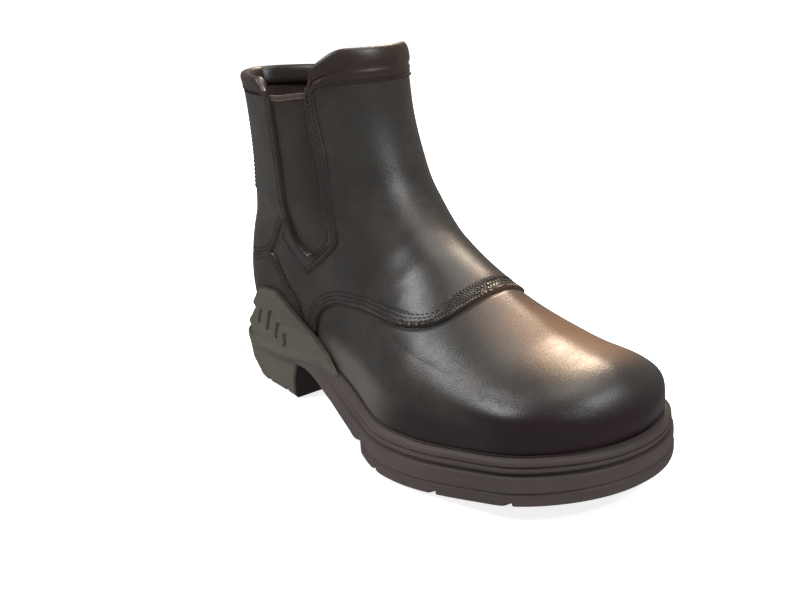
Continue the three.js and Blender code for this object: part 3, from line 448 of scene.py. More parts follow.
class Sheet:
    """A fine grid over the upper, from which leather pieces are cut."""

    def __init__(self, turns, shares, columns, rows):
        u, v = np.meshgrid(np.linspace(*turns, columns), np.linspace(*shares, rows))
        self.lay(u, ring_height(u, v))

    @classmethod
    def at_heights(cls, turns, heights):
        """A sheet with level rows."""
        sheet = cls.__new__(cls)
        sheet.lay(*np.meshgrid(turns, heights))
        return sheet

    def lay(self, u, z):
        self.u, self.z = u, z
        self.place = upper_point(self.u, self.z)
        self.normal = upper_normal(self.u, self.z)
        self.s, self.y = self.place[..., 0], self.place[..., 1]
        self.side = np.where(np.mod(self.u, 2) < 1, -1, 1)

    def from_outline(self, outline):
        """Distance along the surface from a closed side-view outline, positive inside it."""
        nearest = np.full(self.s.shape, 1e9)
        inside = np.zeros(self.s.shape, bool)
        for (s0, z0), (s1, z1) in zip(outline, np.roll(outline, -1, axis=0)):
            ds, dz = s1 - s0, z1 - z0
            t = np.clip(((self.s - s0) * ds + (self.z - z0) * dz) / max(ds * ds + dz * dz, 1e-9), 0, 1)
            nearest = np.minimum(nearest, np.hypot(self.s - s0 - t * ds, self.z - z0 - t * dz))
            if dz:
                inside ^= ((z0 > self.z) != (z1 > self.z)) & (self.s < s0 + (self.z - z0) / dz * ds)
        field = np.where(inside, nearest, -nearest)
        by_row, by_column = np.gradient(field)
        row_step, column_step = np.gradient(self.place, axis=(0, 1))
        e, f, g = (column_step**2).sum(-1), (column_step * row_step).sum(-1), (row_step**2).sum(-1)
        slope2 = g * by_column**2 - 2 * f * by_column * by_row + e * by_row**2
        slope = np.sqrt(np.maximum(slope2 / np.maximum(e * g - f * f, 1e-6), 0))
        return field / np.clip(slope, 0.3, 1)

    def cut(self, name, inside, lift, edge_lift, finish, slot, **options):
        """The part of the sheet with inside above 0, lifted off the upper, down to edge_lift at its edge."""
        keep = inside > 0
        index = np.full(keep.shape, -1)
        index[keep] = np.arange(keep.sum())
        lifted = self.place + self.normal * lift[..., None]
        edge = self.place + self.normal * edge_lift
        a, b, c, d = keep[:-1, :-1], keep[:-1, 1:], keep[1:, 1:], keep[1:, :-1]
        r, q = np.nonzero(a & b & c & d)
        faces = np.stack([index[r, q], index[r, q + 1], index[r + 1, q + 1], index[r + 1, q]], 1).tolist()
        places = lifted[keep].tolist()
        crossings = {}
        for r, q in zip(*np.nonzero((a | b | c | d) & ~(a & b & c & d))):
            corners = [(r, q), (r, q + 1), (r + 1, q + 1), (r + 1, q)]
            face = []
            for k, here in enumerate(corners):
                there = corners[(k + 1) % 4]
                if keep[here]:
                    face.append(int(index[here]))
                if keep[here] != keep[there]:
                    key = min(here, there), max(here, there)
                    if key not in crossings:
                        crossings[key] = len(places)
                        t = inside[here] / (inside[here] - inside[there])
                        places.append((edge[here] * (1 - t) + edge[there] * t).tolist())
                    face.append(crossings[key])
            faces.append(face)
        return piece(name, places, faces, finish, slot, **options)

    def contour(self, field, level, where, lift):
        """Lines on the lifted sheet where the field has a level: lists of places and normals."""
        value = field - level
        high = value > 0
        lifted = self.place + self.normal * lift[..., None]
        links, spots = {}, {}
        a, b, c, d = high[:-1, :-1], high[:-1, 1:], high[1:, 1:], high[1:, :-1]
        mixed = (a | b | c | d) & ~(a & b & c & d) & where[:-1, :-1]
        for r, q in zip(*np.nonzero(mixed)):
            corners = [(r, q), (r, q + 1), (r + 1, q + 1), (r + 1, q)]
            ends = []
            for k, here in enumerate(corners):
                there = corners[(k + 1) % 4]
                if high[here] != high[there]:
                    key = min(here, there), max(here, there)
                    t = value[key[0]] / (value[key[0]] - value[key[1]])
                    spots[key] = (lifted[key[0]] * (1 - t) + lifted[key[1]] * t, self.normal[key[0]])
                    ends.append(key)
            if len(ends) == 2:
                links.setdefault(ends[0], []).append(ends[1])
                links.setdefault(ends[1], []).append(ends[0])
        lines = []
        starts = [k for k in links if len(links[k]) == 1] + list(links)
        seen = set()
        for start in starts:
            if start in seen:
                continue
            line, here = [], start
            while here is not None:
                seen.add(here)
                line.append(spots[here])
                here = next((k for k in links[here] if k not in seen), None)
            if len(line) > 3:
                lines.append((np.array([p for p, _ in line]), np.array([n for _, n in line])))
        return lines


STITCH_SIDES, STITCH_RINGS = 6, 4


def stitch_form():
    """A small pillow, as units along, across and up."""
    around = np.arange(STITCH_SIDES) / STITCH_SIDES * 2 * math.pi
    rows = []
    for angle in np.linspace(-0.5, 0.5, STITCH_RINGS + 2)[1:-1] * math.pi:
        rows.append(np.stack([np.full(STITCH_SIDES, math.sin(angle)), np.cos(around) * math.cos(angle) ** 0.6,
                              np.sin(around) * math.cos(angle) ** 0.6], 1))
    return np.concatenate(rows + [[(-1, 0, 0)], [(1, 0, 0)]])


class Thread:
    """Stitches along lines, gathered in one piece."""

    def __init__(self, length, width, height, pitch):
        self.length, self.width, self.height, self.pitch = length, width, height, pitch
        self.places, self.faces, self.count = [], [], 0
        self.form = stitch_form()

    def sew(self, lines, slant=0, pitch=None, start=0.5):
        pitch = pitch or self.pitch
        for places, normals in lines:
            run = np.concatenate([[0], np.cumsum(np.linalg.norm(np.diff(places, axis=0), axis=1))])
            middles = np.arange(start * pitch, run[-1], pitch)
            if len(middles) < 2:
                continue
            at = np.stack([np.interp(middles, run, places[:, k]) for k in range(3)], 1)
            ahead = np.stack([np.interp(middles + 0.8, run, places[:, k]) for k in range(3)], 1)
            behind = np.stack([np.interp(middles - 0.8, run, places[:, k]) for k in range(3)], 1)
            up = np.stack([np.interp(middles, run, normals[:, k]) for k in range(3)], 1)
            along = ahead - behind
            along /= np.maximum(np.linalg.norm(along, axis=1, keepdims=True), 1e-9)
            across = np.cross(up, along)
            across /= np.maximum(np.linalg.norm(across, axis=1, keepdims=True), 1e-9)
            turn = math.radians(slant)
            along, across = (along * math.cos(turn) + across * math.sin(turn),
                             across * math.cos(turn) - along * math.sin(turn))
            for p, t, c, n in zip(at, along, across, up):
                self.add(p, t, c, n)

    def add(self, place, along, across, up):
        x, y, z = self.form.T[:, :, None]
        shape = x * along * self.length / 2 + y * across * self.width / 2 + z * up * self.height
        self.places.append(shape + place)
        first = self.count
        self.count += len(self.form)
        n, rings = STITCH_SIDES, STITCH_RINGS
        for k in range(rings - 1):
            for i in range(n):
                j = (i + 1) % n
                here, ahead = first + k * n, first + (k + 1) * n
                self.faces.append([here + i, here + j, ahead + j, ahead + i])
        low, high = first + rings * n, first + rings * n + 1
        for i in range(n):
            j = (i + 1) % n
            self.faces.append([low, first + j, first + i])
            self.faces.append([high, first + (rings - 1) * n + i, first + (rings - 1) * n + j])

    def build(self, name, finish, slot):
        return piece(name, np.concatenate(self.places), self.faces, finish, slot, crease_angle=80)


# Finishes
class Signal:
    """One output of a finish's nodes, with arithmetic for numbers."""

    def __init__(self, finish, socket):
        self.finish, self.socket = finish, socket

    def math(self, operation, *others):
        return self.finish.node("ShaderNodeMath", {"operation": operation}, dict(enumerate((self,) + others)))

    def __add__(self, other):
        return self.math("ADD", other)

    def __mul__(self, other):
        return self.math("MULTIPLY", other)

    def __sub__(self, other):
        return self.math("SUBTRACT", other)

    def __rsub__(self, other):
        return self.finish.node("ShaderNodeMath", {"operation": "SUBTRACT"}, {0: other, 1: self})

    __radd__, __rmul__ = __add__, __mul__


class Finish:
    """A material built from nodes."""

    def __init__(self, name):
        self.material = bpy.data.materials.new(name)
        self.material.use_nodes = True
        self.tree = self.material.node_tree
        self.tree.nodes.clear()

    def node(self, kind, settings=(), sockets=(), output=0):
        made = self.tree.nodes.new(kind)
        for name, value in dict(settings).items():
            setattr(made, name, value)
        for name, value in dict(sockets).items():
            if isinstance(value, Signal):
                self.tree.links.new(value.socket, made.inputs[name])
            else:
                made.inputs[name].default_value = value
        return Signal(self, made.outputs[output]) if made.outputs else None

    def place(self):
        return self.node("ShaderNodeTexCoord", output="Object")

    def axes(self):
        place = self.place()
        return [self.node("ShaderNodeSeparateXYZ", (), {0: place}, output=k) for k in range(3)]

    def stretched(self, stretch):
        return self.node("ShaderNodeMapping", (), {"Vector": self.place(), "Scale": stretch})

    def noise(self, scale, detail=3, roughness=0.55, stretch=(1, 1, 1)):
        return self.node("ShaderNodeTexNoise", (), {"Vector": self.stretched(stretch), "Scale": scale,
                                                    "Detail": detail, "Roughness": roughness})

    def cells(self, scale, stretch=(1, 1, 1)):
        return self.node("ShaderNodeTexVoronoi", (), {"Vector": self.stretched(stretch), "Scale": scale})

    def wave(self, length, period):
        """0 to 1 and back over each period of a length."""
        return (length * (2 * math.pi / period)).math("SINE") * 0.5 + 0.5

    def ramp(self, value, low, high, start=0.0, end=1.0):
        """start below low, end above high, a soft step between."""
        return self.node("ShaderNodeMapRange", {"interpolation_type": "SMOOTHSTEP"},
                         {"Value": value, "From Min": low, "From Max": high, "To Min": start, "To Max": end})

    def between(self, x, low, high):
        """A soft step along the boot between two lengths along the sole, in millimetres."""
        return self.ramp(x, (low - HEEL_LENGTH / 2) * MM, (high - HEEL_LENGTH / 2) * MM)

    def mix(self, factor, a, b):
        return self.node("ShaderNodeMix", {"data_type": "RGBA"}, {0: factor, 6: a, 7: b}, output=2)

    def bump(self, height, distance, strength=1.0):
        return self.node("ShaderNodeBump", (), {"Height": height, "Distance": distance, "Strength": strength})

    def surface(self, sockets):
        shader = self.node("ShaderNodeBsdfPrincipled", (), sockets)
        self.node("ShaderNodeOutputMaterial", (), {"Surface": shader})
        return self.material


def rgb(r, g, b):
    return (r, g, b, 1.0)


def oiled_leather(name, colour):
    """Pull-up leather: bronze along the toe's ridge, partly its own colour and partly a painted highlight;
    dark plum low round the toe and low at the sides; and a painted reflection, a pale strip over the rand on
    the outer side."""
    f = Finish(name)
    x, y, z = f.axes()
    cloud = f.noise(16, 3, 0.5)
    blotch = f.noise(48, 4, 0.6)
    scuffs = f.noise(190, 4, 0.7, (1, 0.4, 1.6))
    grain = f.cells(1300)
    pores = f.noise(2600, 2, 0.6)
    # Bronze along the toe's ridge: partly the leather's own colour, partly a painted highlight on the toe's
    # top.
    bronze_and_highlight = f.between(x, 188, 246) * f.between(x, 288, 262)
    bronze_and_highlight = bronze_and_highlight * f.ramp(y + cloud * 0.02, -0.018, 0.012) * f.ramp(z, 0.052, 0.066)
    # Darker plum on the lower toe and along the bottom of the leather.
    rim = f.between(x, 226, 262) * f.ramp(z + cloud * 0.008, 0.062, 0.050)
    foot = f.ramp(z, 0.048, 0.034) * 0.75
    dark = rim.math("MAXIMUM", foot)
    base = f.mix(f.ramp(cloud, 0.35, 0.7) * 0.5, colour, tuple(c * 1.5 for c in colour[:3]) + (1.0,))
    base = f.mix(f.ramp(blotch, 0.45, 0.8) * 0.1, base, BRONZE)
    base = f.mix(bronze_and_highlight, base, BRONZE)
    base = f.mix(dark, base, DARK_PLUM)
    # Painted reflection: a pale strip on the outer side just above the rand, standing in for light mirrored
    # off the lower leather.
    rand_reflection = f.between(x, 74, 92) * f.between(x, 205, 155) * f.ramp(y, -0.012, -0.026)
    rand_reflection = rand_reflection * f.ramp(z, 0.022, 0.026) * f.ramp(z + cloud * 0.005, 0.051, 0.039)
    base = f.mix(rand_reflection, base, RAND_REFLECTION)
    base = f.mix(f.ramp(scuffs, 0.62, 0.8) * 0.08, base, BRONZE)
    rough = f.ramp(cloud, 0.3, 0.7, 0.36, 0.43) + f.ramp(scuffs, 0.4, 0.8, -0.03, 0.06) - bronze_and_highlight * 0.04
    height = grain * 0.5 + pores * 0.35 + blotch * 1.4
    return f.surface({"Base Color": base, "Roughness": rough, "Specular IOR Level": 0.46, "Coat Weight": 0.05,
                      "Coat Roughness": 0.3, "Normal": f.bump(height, 0.0002, 0.5)})


def ribbed_elastic(name):
    """Elastic cloth: fine upright ribs with a cross weave."""
    f = Finish(name)
    x, y, z = f.axes()
    ribs, picks = f.wave(x, 0.00125), f.wave(z, 0.0009)
    fluff = f.noise(1500, 3)
    cloud = f.noise(40, 3)
    base = f.mix(ribs * 0.3 + picks * 0.2, rgb(0.010, 0.007, 0.0055), rgb(0.036, 0.025, 0.019))
    base = f.mix(f.ramp(cloud, 0.4, 0.75) * 0.3, base, rgb(0.036, 0.026, 0.021))
    height = ribs * 0.7 + picks * 0.25 + fluff * 0.4
    return f.surface({"Base Color": base, "Roughness": 0.88, "Specular IOR Level": 0.2, "Sheen Weight": 0.06,
                      "Normal": f.bump(height, 0.0003, 0.7)})


def moulded_rubber(name, colour, pale, heel=None, breast=None):
    """Matt moulded rubber with a sandy skin and a little dust; greener at the heel, darker towards the toe,
    and a painted shade on the heel's breast.
    """
    f = Finish(name)
    x, y, z = f.axes()
    cloud = f.noise(18, 4, 0.6)
    dust = f.noise(260, 4, 0.7)
    sand = f.noise(2200, 2, 0.7)
    base = f.mix(f.ramp(cloud, 0.35, 0.75) * 0.5, colour, pale)
    if heel:
        base = f.mix(f.between(x, 120, 70), base, heel)
        # Darker towards the toe.
        base = f.mix(f.between(x, 205, 262) * 0.5, base, TOE_DARKENING)
    # Painted shade: the heel's breast, under the arch, is coloured nearly black.
    if breast:
        base = f.mix(f.between(x, HEEL_LENGTH - 5, HEEL_LENGTH), base, breast)
    base = f.mix(f.ramp(dust, 0.58, 0.8) * 0.3, base, pale)
    rough = f.ramp(cloud, 0.3, 0.7, 0.5, 0.6) + dust * 0.1
    return f.surface({"Base Color": base, "Roughness": rough, "Specular IOR Level": 0.35,
                      "Normal": f.bump(sand * 0.7 + dust * 0.5, 0.00012, 0.6)})


def woven_tape(name, dark, pale):
    """Webbing: a herringbone of slanted yarns."""
    f = Finish(name)
    x, y, z = f.axes()
    slant, weft = f.wave(y + z * 0.6, 0.0016), f.wave(z, 0.0011)
    fluff = f.noise(1800, 3)
    base = f.mix(slant * 0.5 + weft * 0.3, dark, pale)
    return f.surface({"Base Color": base, "Roughness": 0.9, "Specular IOR Level": 0.2, "Sheen Weight": 0.1,
                      "Normal": f.bump(slant * 0.7 + weft * 0.5 + fluff * 0.3, 0.0004, 0.8)})


def soft_lining(name, colour, pale):
    """Knitted lining, almost black inside the boot."""
    f = Finish(name)
    knit = f.cells(900, (1, 1, 1.5))
    cloud = f.noise(30, 3)
    base = f.mix(knit * 0.6 + cloud * 0.3, colour, pale)
    return f.surface({"Base Color": base, "Roughness": 0.92, "Specular IOR Level": 0.2,
                      "Normal": f.bump(knit, 0.0003, 0.7)})


def waxed_thread(name, colour, pale):
    """Twisted thread: slanted strands and a dull shine."""
    f = Finish(name)
    x, y, z = f.axes()
    strands = f.wave(x + y * 0.7 + z * 1.3, 0.0006)
    wear = f.noise(120, 3)
    base = f.mix(strands * 0.5 + f.ramp(wear, 0.4, 0.7) * 0.4, colour, pale)
    return f.surface({"Base Color": base, "Roughness": 0.55, "Specular IOR Level": 0.4,
                      "Normal": f.bump(strands, 0.00008, 0.6)})


# The leather's bronze tone; on the toe's ridge it also carries a painted highlight.
BRONZE = rgb(0.18, 0.096, 0.051)
DARK_PLUM = rgb(0.012, 0.0045, 0.0065)
# Colour of the painted reflection over the rand.
RAND_REFLECTION = rgb(0.095, 0.084, 0.073)
TOE_DARKENING = rgb(0.03, 0.022, 0.02)
LEATHER = oiled_leather("oiled_brown_leather", rgb(0.021, 0.0185, 0.0165))
COLLAR_LEATHER = oiled_leather("padded_collar_leather", rgb(0.021, 0.0125, 0.01))
ELASTIC = ribbed_elastic("ribbed_elastic")
GREEN_BROWN, PALE_GREEN = rgb(0.074, 0.066, 0.050), rgb(0.11, 0.098, 0.078)
RUBBER = moulded_rubber("moulded_sole_rubber", rgb(0.062, 0.046, 0.043), rgb(0.094, 0.072, 0.067),
                        heel=rgb(0.078, 0.067, 0.056))
CUP_RUBBER = moulded_rubber("moulded_cup_rubber", GREEN_BROWN, PALE_GREEN)
# Heel rubber, with a painted shade on the breast of the heel.
HEEL_RUBBER = moulded_rubber("moulded_heel_rubber", GREEN_BROWN, PALE_GREEN, breast=rgb(0.012, 0.009, 0.007))
WEBBING = woven_tape("black_webbing", rgb(0.004, 0.004, 0.004), rgb(0.014, 0.013, 0.013))
BINDING = woven_tape("gore_binding_tape", rgb(0.05, 0.038, 0.03), rgb(0.12, 0.095, 0.075))
LINING = soft_lining("knitted_lining", rgb(0.026, 0.017, 0.015), rgb(0.08, 0.06, 0.052))
FOOTBED = soft_lining("footbed_cloth", rgb(0.02, 0.017, 0.016), rgb(0.05, 0.045, 0.04))
THREAD = waxed_thread("dark_waxed_thread", rgb(0.006, 0.0045, 0.004), rgb(0.03, 0.022, 0.018))
PALE_THREAD = waxed_thread("pale_edge_thread", rgb(0.10, 0.075, 0.05), rgb(0.25, 0.2, 0.15))

# Seams of the upper, in millimetres
gore_window = curve_through(scaled(GORE_WINDOW, UPPER_LENGTH, GORE_TOP), 4).tolist()
gore_border = curve_through(scaled(GORE_BORDER, UPPER_LENGTH, GORE_TOP), 4).tolist()
vamp_seam = curve_through(scaled(VAMP_SEAM, UPPER_LENGTH, COLLAR_FRONT), 8).tolist()
counter_seam = curve_through(scaled(COUNTER_SEAM, UPPER_LENGTH, COLLAR_BACK), 6).tolist()
back_edge = curve_through(scaled(BACK_PANEL_EDGE, UPPER_LENGTH, COLLAR_BACK), 6).tolist()
behind_vamp = vamp_seam + [(FAR, vamp_seam[-1][1]), (FAR, FAR), (-FAR, FAR), (-FAR, -FAR),
                           (vamp_seam[0][0], -FAR)]
counter_outline = [(-FAR, -FAR), (-FAR, counter_seam[0][1])] + counter_seam + [(counter_seam[-1][0], -FAR)]
gore_middle = (gore_window[0][0] + gore_window[-1][0]) / 2
back_outline = [(-FAR, FAR), (-FAR, back_edge[0][1])] + back_edge
back_outline += [(gore_middle, back_edge[-1][1]), (gore_middle, FAR)]
GORE_TURNS = {"outer_side": (0.13, 0.8), "inner_side": (1.2, 1.87)}
TAPE_TURNS = {"outer_side": (0.5, 0.7), "inner_side": (1.3, 1.5)}

# Heights of the leather layers over the upper's surface
QUARTER_LIFT = 1.5
TOP_LIFT = 2.3
BORDER_LIFT = 2.6
TUCKED = 0.4
UNDER_EDGE = 0.2
SEAM_PRESS = 0.3
VAMP_UNDERLAP = 9
ELASTIC_UNDERLAP = 2.5
RIB_PITCH = 1.6
RIB_HEIGHT = 0.03

# Columns and rows of the sheets from which the leather is cut
VAMP_GRID = (660, 170)
QUARTER_GRID = (780, 180)
COUNTER_GRID = (400, 120)
BACK_GRID = (430, 160)
GORE_GRID = (400, 210)

# Rows of stitches: distance from the folded edge
VAMP_ROWS = (2.5, 4.7, 6.9)
RIDGE_ROWS = (2.2, 3.6, 5, 6.4, 7.8, 9.2)
RIDGE_START = 0.665 * UPPER_LENGTH
EDGE_ROWS = (1.6, 3.6)
WINDOW_ROW = 1.4
BORDER_ROWS = (1.5, 3.4)

# Soft creases: side (0 both), place along the sole, height, length, lean in degrees, width, depth.
CREASES = [
    (-1, 150, 92, 40, 62, 6, 0.55),
    (-1, 166, 84, 30, 70, 5, 0.45),
    (-1, 122, 66, 34, 12, 5, -0.5),
    (-1, 156, 63, 45, 24, 3, -0.6),
    (-1, 186, 58, 26, 80, 7, 0.5),
    (-1, 208, 55, 24, 95, 6, 0.35),
    (-1, 112, 120, 40, 78, 8, -0.5),
    (-1, 104, 152, 36, 88, 7, 0.4),
    (1, 150, 90, 36, 60, 6, 0.5),
    (1, 186, 60, 28, 85, 7, 0.5),
    (1, 112, 120, 36, 80, 7, 0.4),
    (0, 24, 104, 24, 8, 5, 0.5),
]


def creases(sheet):
    """Height of the soft troughs and ridges on a sheet."""
    depth = np.zeros(sheet.s.shape)
    for side, s, z, length, lean, width, deep in CREASES:
        ahead, up = sheet.s - s, sheet.z - z
        turn = math.radians(lean)
        along = ahead * math.cos(turn) + up * math.sin(turn)
        across = up * math.cos(turn) - ahead * math.sin(turn) + 0.006 * along**2
        shown = np.where((side == 0) | (sheet.side == side), 1, 0)
        depth += shown * deep * hill(across, width) * hill(along, length / 2)
    return -depth


def folded(inside, base, lift, radius=0.9):
    """Height of a folded edge: lift above base, rounded off over the radius."""
    t = np.clip(inside / radius, 0, 1)
    return base + lift * np.sqrt(1 - (1 - t) ** 2)


def laid_over_quarter(inside, lift):
    """Height of a leather piece with its folded edge on the quarter."""
    base = QUARTER_LIFT - UNDER_EDGE
    return folded(inside, base, lift - base)


def rows_of_needle(field, levels, depth=0.42, width=0.6):
    """Shallow troughs that rows of stitches pull into the leather."""
    return -sum(depth * hill(field - level, width) for level in levels)


def vamp(thread):
    """Toe and vamp in one piece, running in under the quarters."""
    sheet = Sheet((0.2, 1.8), (0, 0.86), *VAMP_GRID)
    behind = sheet.from_outline(behind_vamp)
    lift = creases(sheet) - 0.7 * hill(behind + 0.2, 1.2)
    sheet.cut("vamp_leather", VAMP_UNDERLAP - behind, lift, 0, LEATHER, "leather", stands_for=("upper",))


def quarters(thread):
    """Both quarters, with a folded edge over the vamp and dense rows of stitches at the ridge."""
    sheet = Sheet((0, 2), (0, 1), *QUARTER_GRID)
    from_vamp = sheet.from_outline(behind_vamp)
    inside = np.minimum(from_vamp, -sheet.from_outline(gore_window))
    from_counter = sheet.from_outline(counter_outline)
    from_back = sheet.from_outline(back_outline)
    ridge = smooth(RIDGE_START - 6, RIDGE_START + 6, sheet.s)
    lift = folded(inside, -UNDER_EDGE, QUARTER_LIFT + UNDER_EDGE, 1.1) + creases(sheet)
    lift += 0.35 * hill(from_vamp - 1.1, 0.8)
    lift += rows_of_needle(from_vamp, VAMP_ROWS) - SEAM_PRESS * ridge * hill(from_vamp - 6, 4)
    lift -= SEAM_PRESS * (hill(from_counter, 1.2) + hill(from_back, 1.2))
    sheet.cut("quarter_leather", inside, lift, -0.3, LEATHER, "leather", stands_for=("quarter",))
    bare = (from_counter < -1) & (from_back < -1)
    for number, level in enumerate(VAMP_ROWS):
        thread.sew(sheet.contour(from_vamp, level, bare & (ridge < 0.5), lift), start=0.5 + 0.33 * number)
    for number, level in enumerate(RIDGE_ROWS):
        lean = 40 if number % 2 else -40
        thread.sew(sheet.contour(from_vamp, level, bare & (ridge >= 0.5), lift), slant=lean, pitch=1.9)


def heel_pieces(thread):
    """Counter round the heel, and the back panel above it."""
    sheet = Sheet((-0.5, 0.5), (0, 0.55), *COUNTER_GRID)
    inside = sheet.from_outline(counter_outline)
    under_back = sheet.from_outline(back_outline)
    lift = laid_over_quarter(inside, TOP_LIFT) + rows_of_needle(inside, EDGE_ROWS)
    sheet.cut("counter_leather", inside, lift, QUARTER_LIFT - TUCKED, LEATHER, "leather",
              stands_for=("counter",))
    for number, level in enumerate(EDGE_ROWS):
        thread.sew(sheet.contour(inside, level, under_back < -0.5, lift), start=0.5 + 0.5 * number)

    sheet = Sheet((-0.62, 0.62), (0.3, 1), *BACK_GRID)
    from_seam = sheet.from_outline(back_outline)
    inside = np.minimum(from_seam, -sheet.from_outline(gore_window))
    lift = laid_over_quarter(inside, TOP_LIFT) + creases(sheet)
    lift += rows_of_needle(from_seam, EDGE_ROWS)
    sheet.cut("back_panel_leather", inside, lift, QUARTER_LIFT - TUCKED, LEATHER, "leather",
              stands_for=("back_panel",))
    in_border = sheet.from_outline(gore_border)
    for number, level in enumerate(EDGE_ROWS):
        thread.sew(sheet.contour(from_seam, level, in_border < -1, lift), start=0.5 + 0.5 * number)


def gores(thread):
    """An elastic panel in each side, and the leather border stitched round it."""
    for label, turns in GORE_TURNS.items():
        sheet = Sheet(turns, (0.28, 1), *GORE_GRID)
        from_window = -sheet.from_outline(gore_window)
        from_rim = sheet.from_outline(gore_border)
        inside = np.minimum(from_window, from_rim)
        lift = laid_over_quarter(inside, BORDER_LIFT)
        lift += rows_of_needle(from_window, (WINDOW_ROW,)) + rows_of_needle(from_rim, BORDER_ROWS)
        sheet.cut("gore_border_" + label, inside, lift, QUARTER_LIFT - 2 * TUCKED, LEATHER, "leather")
        thread.sew(sheet.contour(from_window, WINDOW_ROW, from_rim > 1.2, lift))
        for number, level in enumerate(BORDER_ROWS):
            thread.sew(sheet.contour(from_rim, level, from_window > 1.8, lift), start=0.5 + 0.4 * number)
        ribs = -0.3 + RIB_HEIGHT * np.sin(sheet.s * 2 * math.pi / RIB_PITCH)
        sheet.cut("elastic_" + label, ELASTIC_UNDERLAP - from_window, ribs, -0.6, ELASTIC, "elastic",
                  stands_for=("gore_" + label,))

        form = Form()
        across = np.linspace(*TAPE_TURNS[label], 60)
        rows = []
        for angle in np.linspace(-0.35, 1.15, 17) * math.pi:
            height = wall_top(share_of(across)) - 1.2 + 1.7 * math.sin(angle)
            rows.append(form.row(offset_point(across, height, -1.1 + 1.4 * math.cos(angle))))
        form.skin(rows)
        form.build("binding_tape_" + label, BINDING, "elastic", crease_angle=70)


# Inside of the boot
def lining():
    """Cloth on the inside of the wall, turned over its top edge."""
    form = Form()
    turns = np.linspace(0, 2, 241)[:-1]
    rows = [form.row(offset_point(turns, ring_height(turns, v), -WALL)) for v in np.linspace(0.02, 1, 60)]
    top = wall_top(share_of(turns))
    rows += [form.row(offset_point(turns, top + up, out))
             for up, out in ((0.2, -WALL / 2), (0, 0.4), (-2, 0.6))]
    form.skin(rows, closed=True)
    form.build("knitted_lining", LINING, "leather")


def insole():
    """Footbed, dished a little along its middle."""
    form = Form()
    turns = np.clip(np.linspace(0, 1, 81), 1e-4, 1 - 1e-4)
    height = platform(share_of(turns) * UPPER_LENGTH) + CLEAR + INSOLE_THICKNESS
    outer = offset_point(turns, height, -WALL - 2 * CLEAR)
    inner = offset_point(2 - turns, height, -WALL - 2 * CLEAR)
    rows = []
    for share in np.linspace(0, 1, 25):
        places = outer * (1 - share) + inner * share
        places[:, 2] += 1.2 * (2 * share - 1) ** 4 - 0.6
        rows.append(form.row(places))
    form.skin(rows, turned=True)
    form.build("footbed", FOOTBED, "insole_foam", stands_for=("insole",))


# Padded rolls of the collar
ROLL_OVERLAP = 2.4
ROLL_LEAN = 1.6
ROLL_SECTION = 72
ROLL_SQUARENESS = 0.7
PUCKERS = 95
PUCKER_DEPTH = 0.15
FRONT_ROLL_SINK = 0.3


def collar_roll(name, turns, base_at, top_at, folds, stitch_at, thread):
    """A padded roll on the upper's wall. Each fold has its place up the roll, width and depth."""
    form = Form()
    turns = np.linspace(*turns, 260)
    share = share_of(turns)
    base = base_at(share) - ROLL_OVERLAP
    height = top_at(share) - base
    thickness = np.minimum(ROLL_THICKNESS, ROLL_END + 0.6 * (height - ROLL_OVERLAP - ROLL_END))
    fullness = np.clip((height - ROLL_OVERLAP - ROLL_END) / 8, 0, 1)
    rows = []
    for k in range(ROLL_SECTION):
        angle = k / ROLL_SECTION * 2 * math.pi
        up = math.copysign(abs(math.sin(angle)) ** ROLL_SQUARENESS, math.sin(angle))
        out = math.copysign(abs(math.cos(angle)) ** ROLL_SQUARENESS, math.cos(angle))
        level = 0.5 + 0.5 * up
        outside = max(0, out) ** 0.5
        reach = ROLL_OUT - thickness / 2 + thickness / 2 * out + ROLL_LEAN * fullness * (level - 0.4)
        for place, wide, deep in folds:
            reach = reach - outside * fullness * deep * hill(level - place, wide)
        pucker = PUCKER_DEPTH * np.sin(turns * PUCKERS) * hill(level - stitch_at, 0.09) * outside
        rows.append(form.row(offset_point(turns, base + height * level, reach - pucker * fullness)))
    form.skin(np.array(rows).T, closed=True, turned=True)
    form.cap([row[0] for row in rows], True)
    form.cap([row[-1] for row in rows], False)
    roll = form.build(name + "_padding", COLLAR_LEATHER, "collar_leather", stands_for=(name,),
                      crease_angle=70)
    z = base + height * stitch_at
    full = fullness > 0.35
    thread.sew([(offset_point(turns, z, ROLL_OUT - 0.15)[full], upper_normal(turns, z)[full])])


def front_roll_rise(share):
    """The front roll climbs steeply out of the gore's corner, then gently to the front."""
    return 0.62 * smooth(0.78, 0.82, share) + 0.38 * smooth(0.79, 0.95, share)


def collar(thread):
    rise = FRONT_ROLL_HEIGHT - ROLL_END - FRONT_ROLL_SINK
    collar_roll("collar_front", (0.685, 1.315), lambda share: wall_top(share) + 2 * CLEAR,
                lambda share: wall_top(share) + ROLL_END + rise * front_roll_rise(share),
                [(0.5, 0.035, 1.3), (0.4, 0.02, 0.45), (0.31, 0.03, 0.35)], 0.16, thread)
    back_rise = BACK_ROLL_HEIGHT - ROLL_END
    collar_roll("collar_back", (-0.5, 0.5), lambda share: BACK_WALL_TOP + 2 * CLEAR,
                lambda share: BACK_WALL_TOP + ROLL_END + back_rise * smooth(0.49, 0.42, share),
                [(0.2, 0.06, 0.9), (0.55, 0.06, 0.3)], 0.3, thread)


def turn_for_arc(z, arc):
    """Turn at which the surface at height z is an arc length away from the back seam."""
    turns = np.linspace(0, 0.6, 200)
    places = upper_point(turns, z)
    run = np.concatenate([[0], np.cumsum(np.linalg.norm(np.diff(places, axis=0), axis=1))])
    return float(np.interp(arc, run, turns))


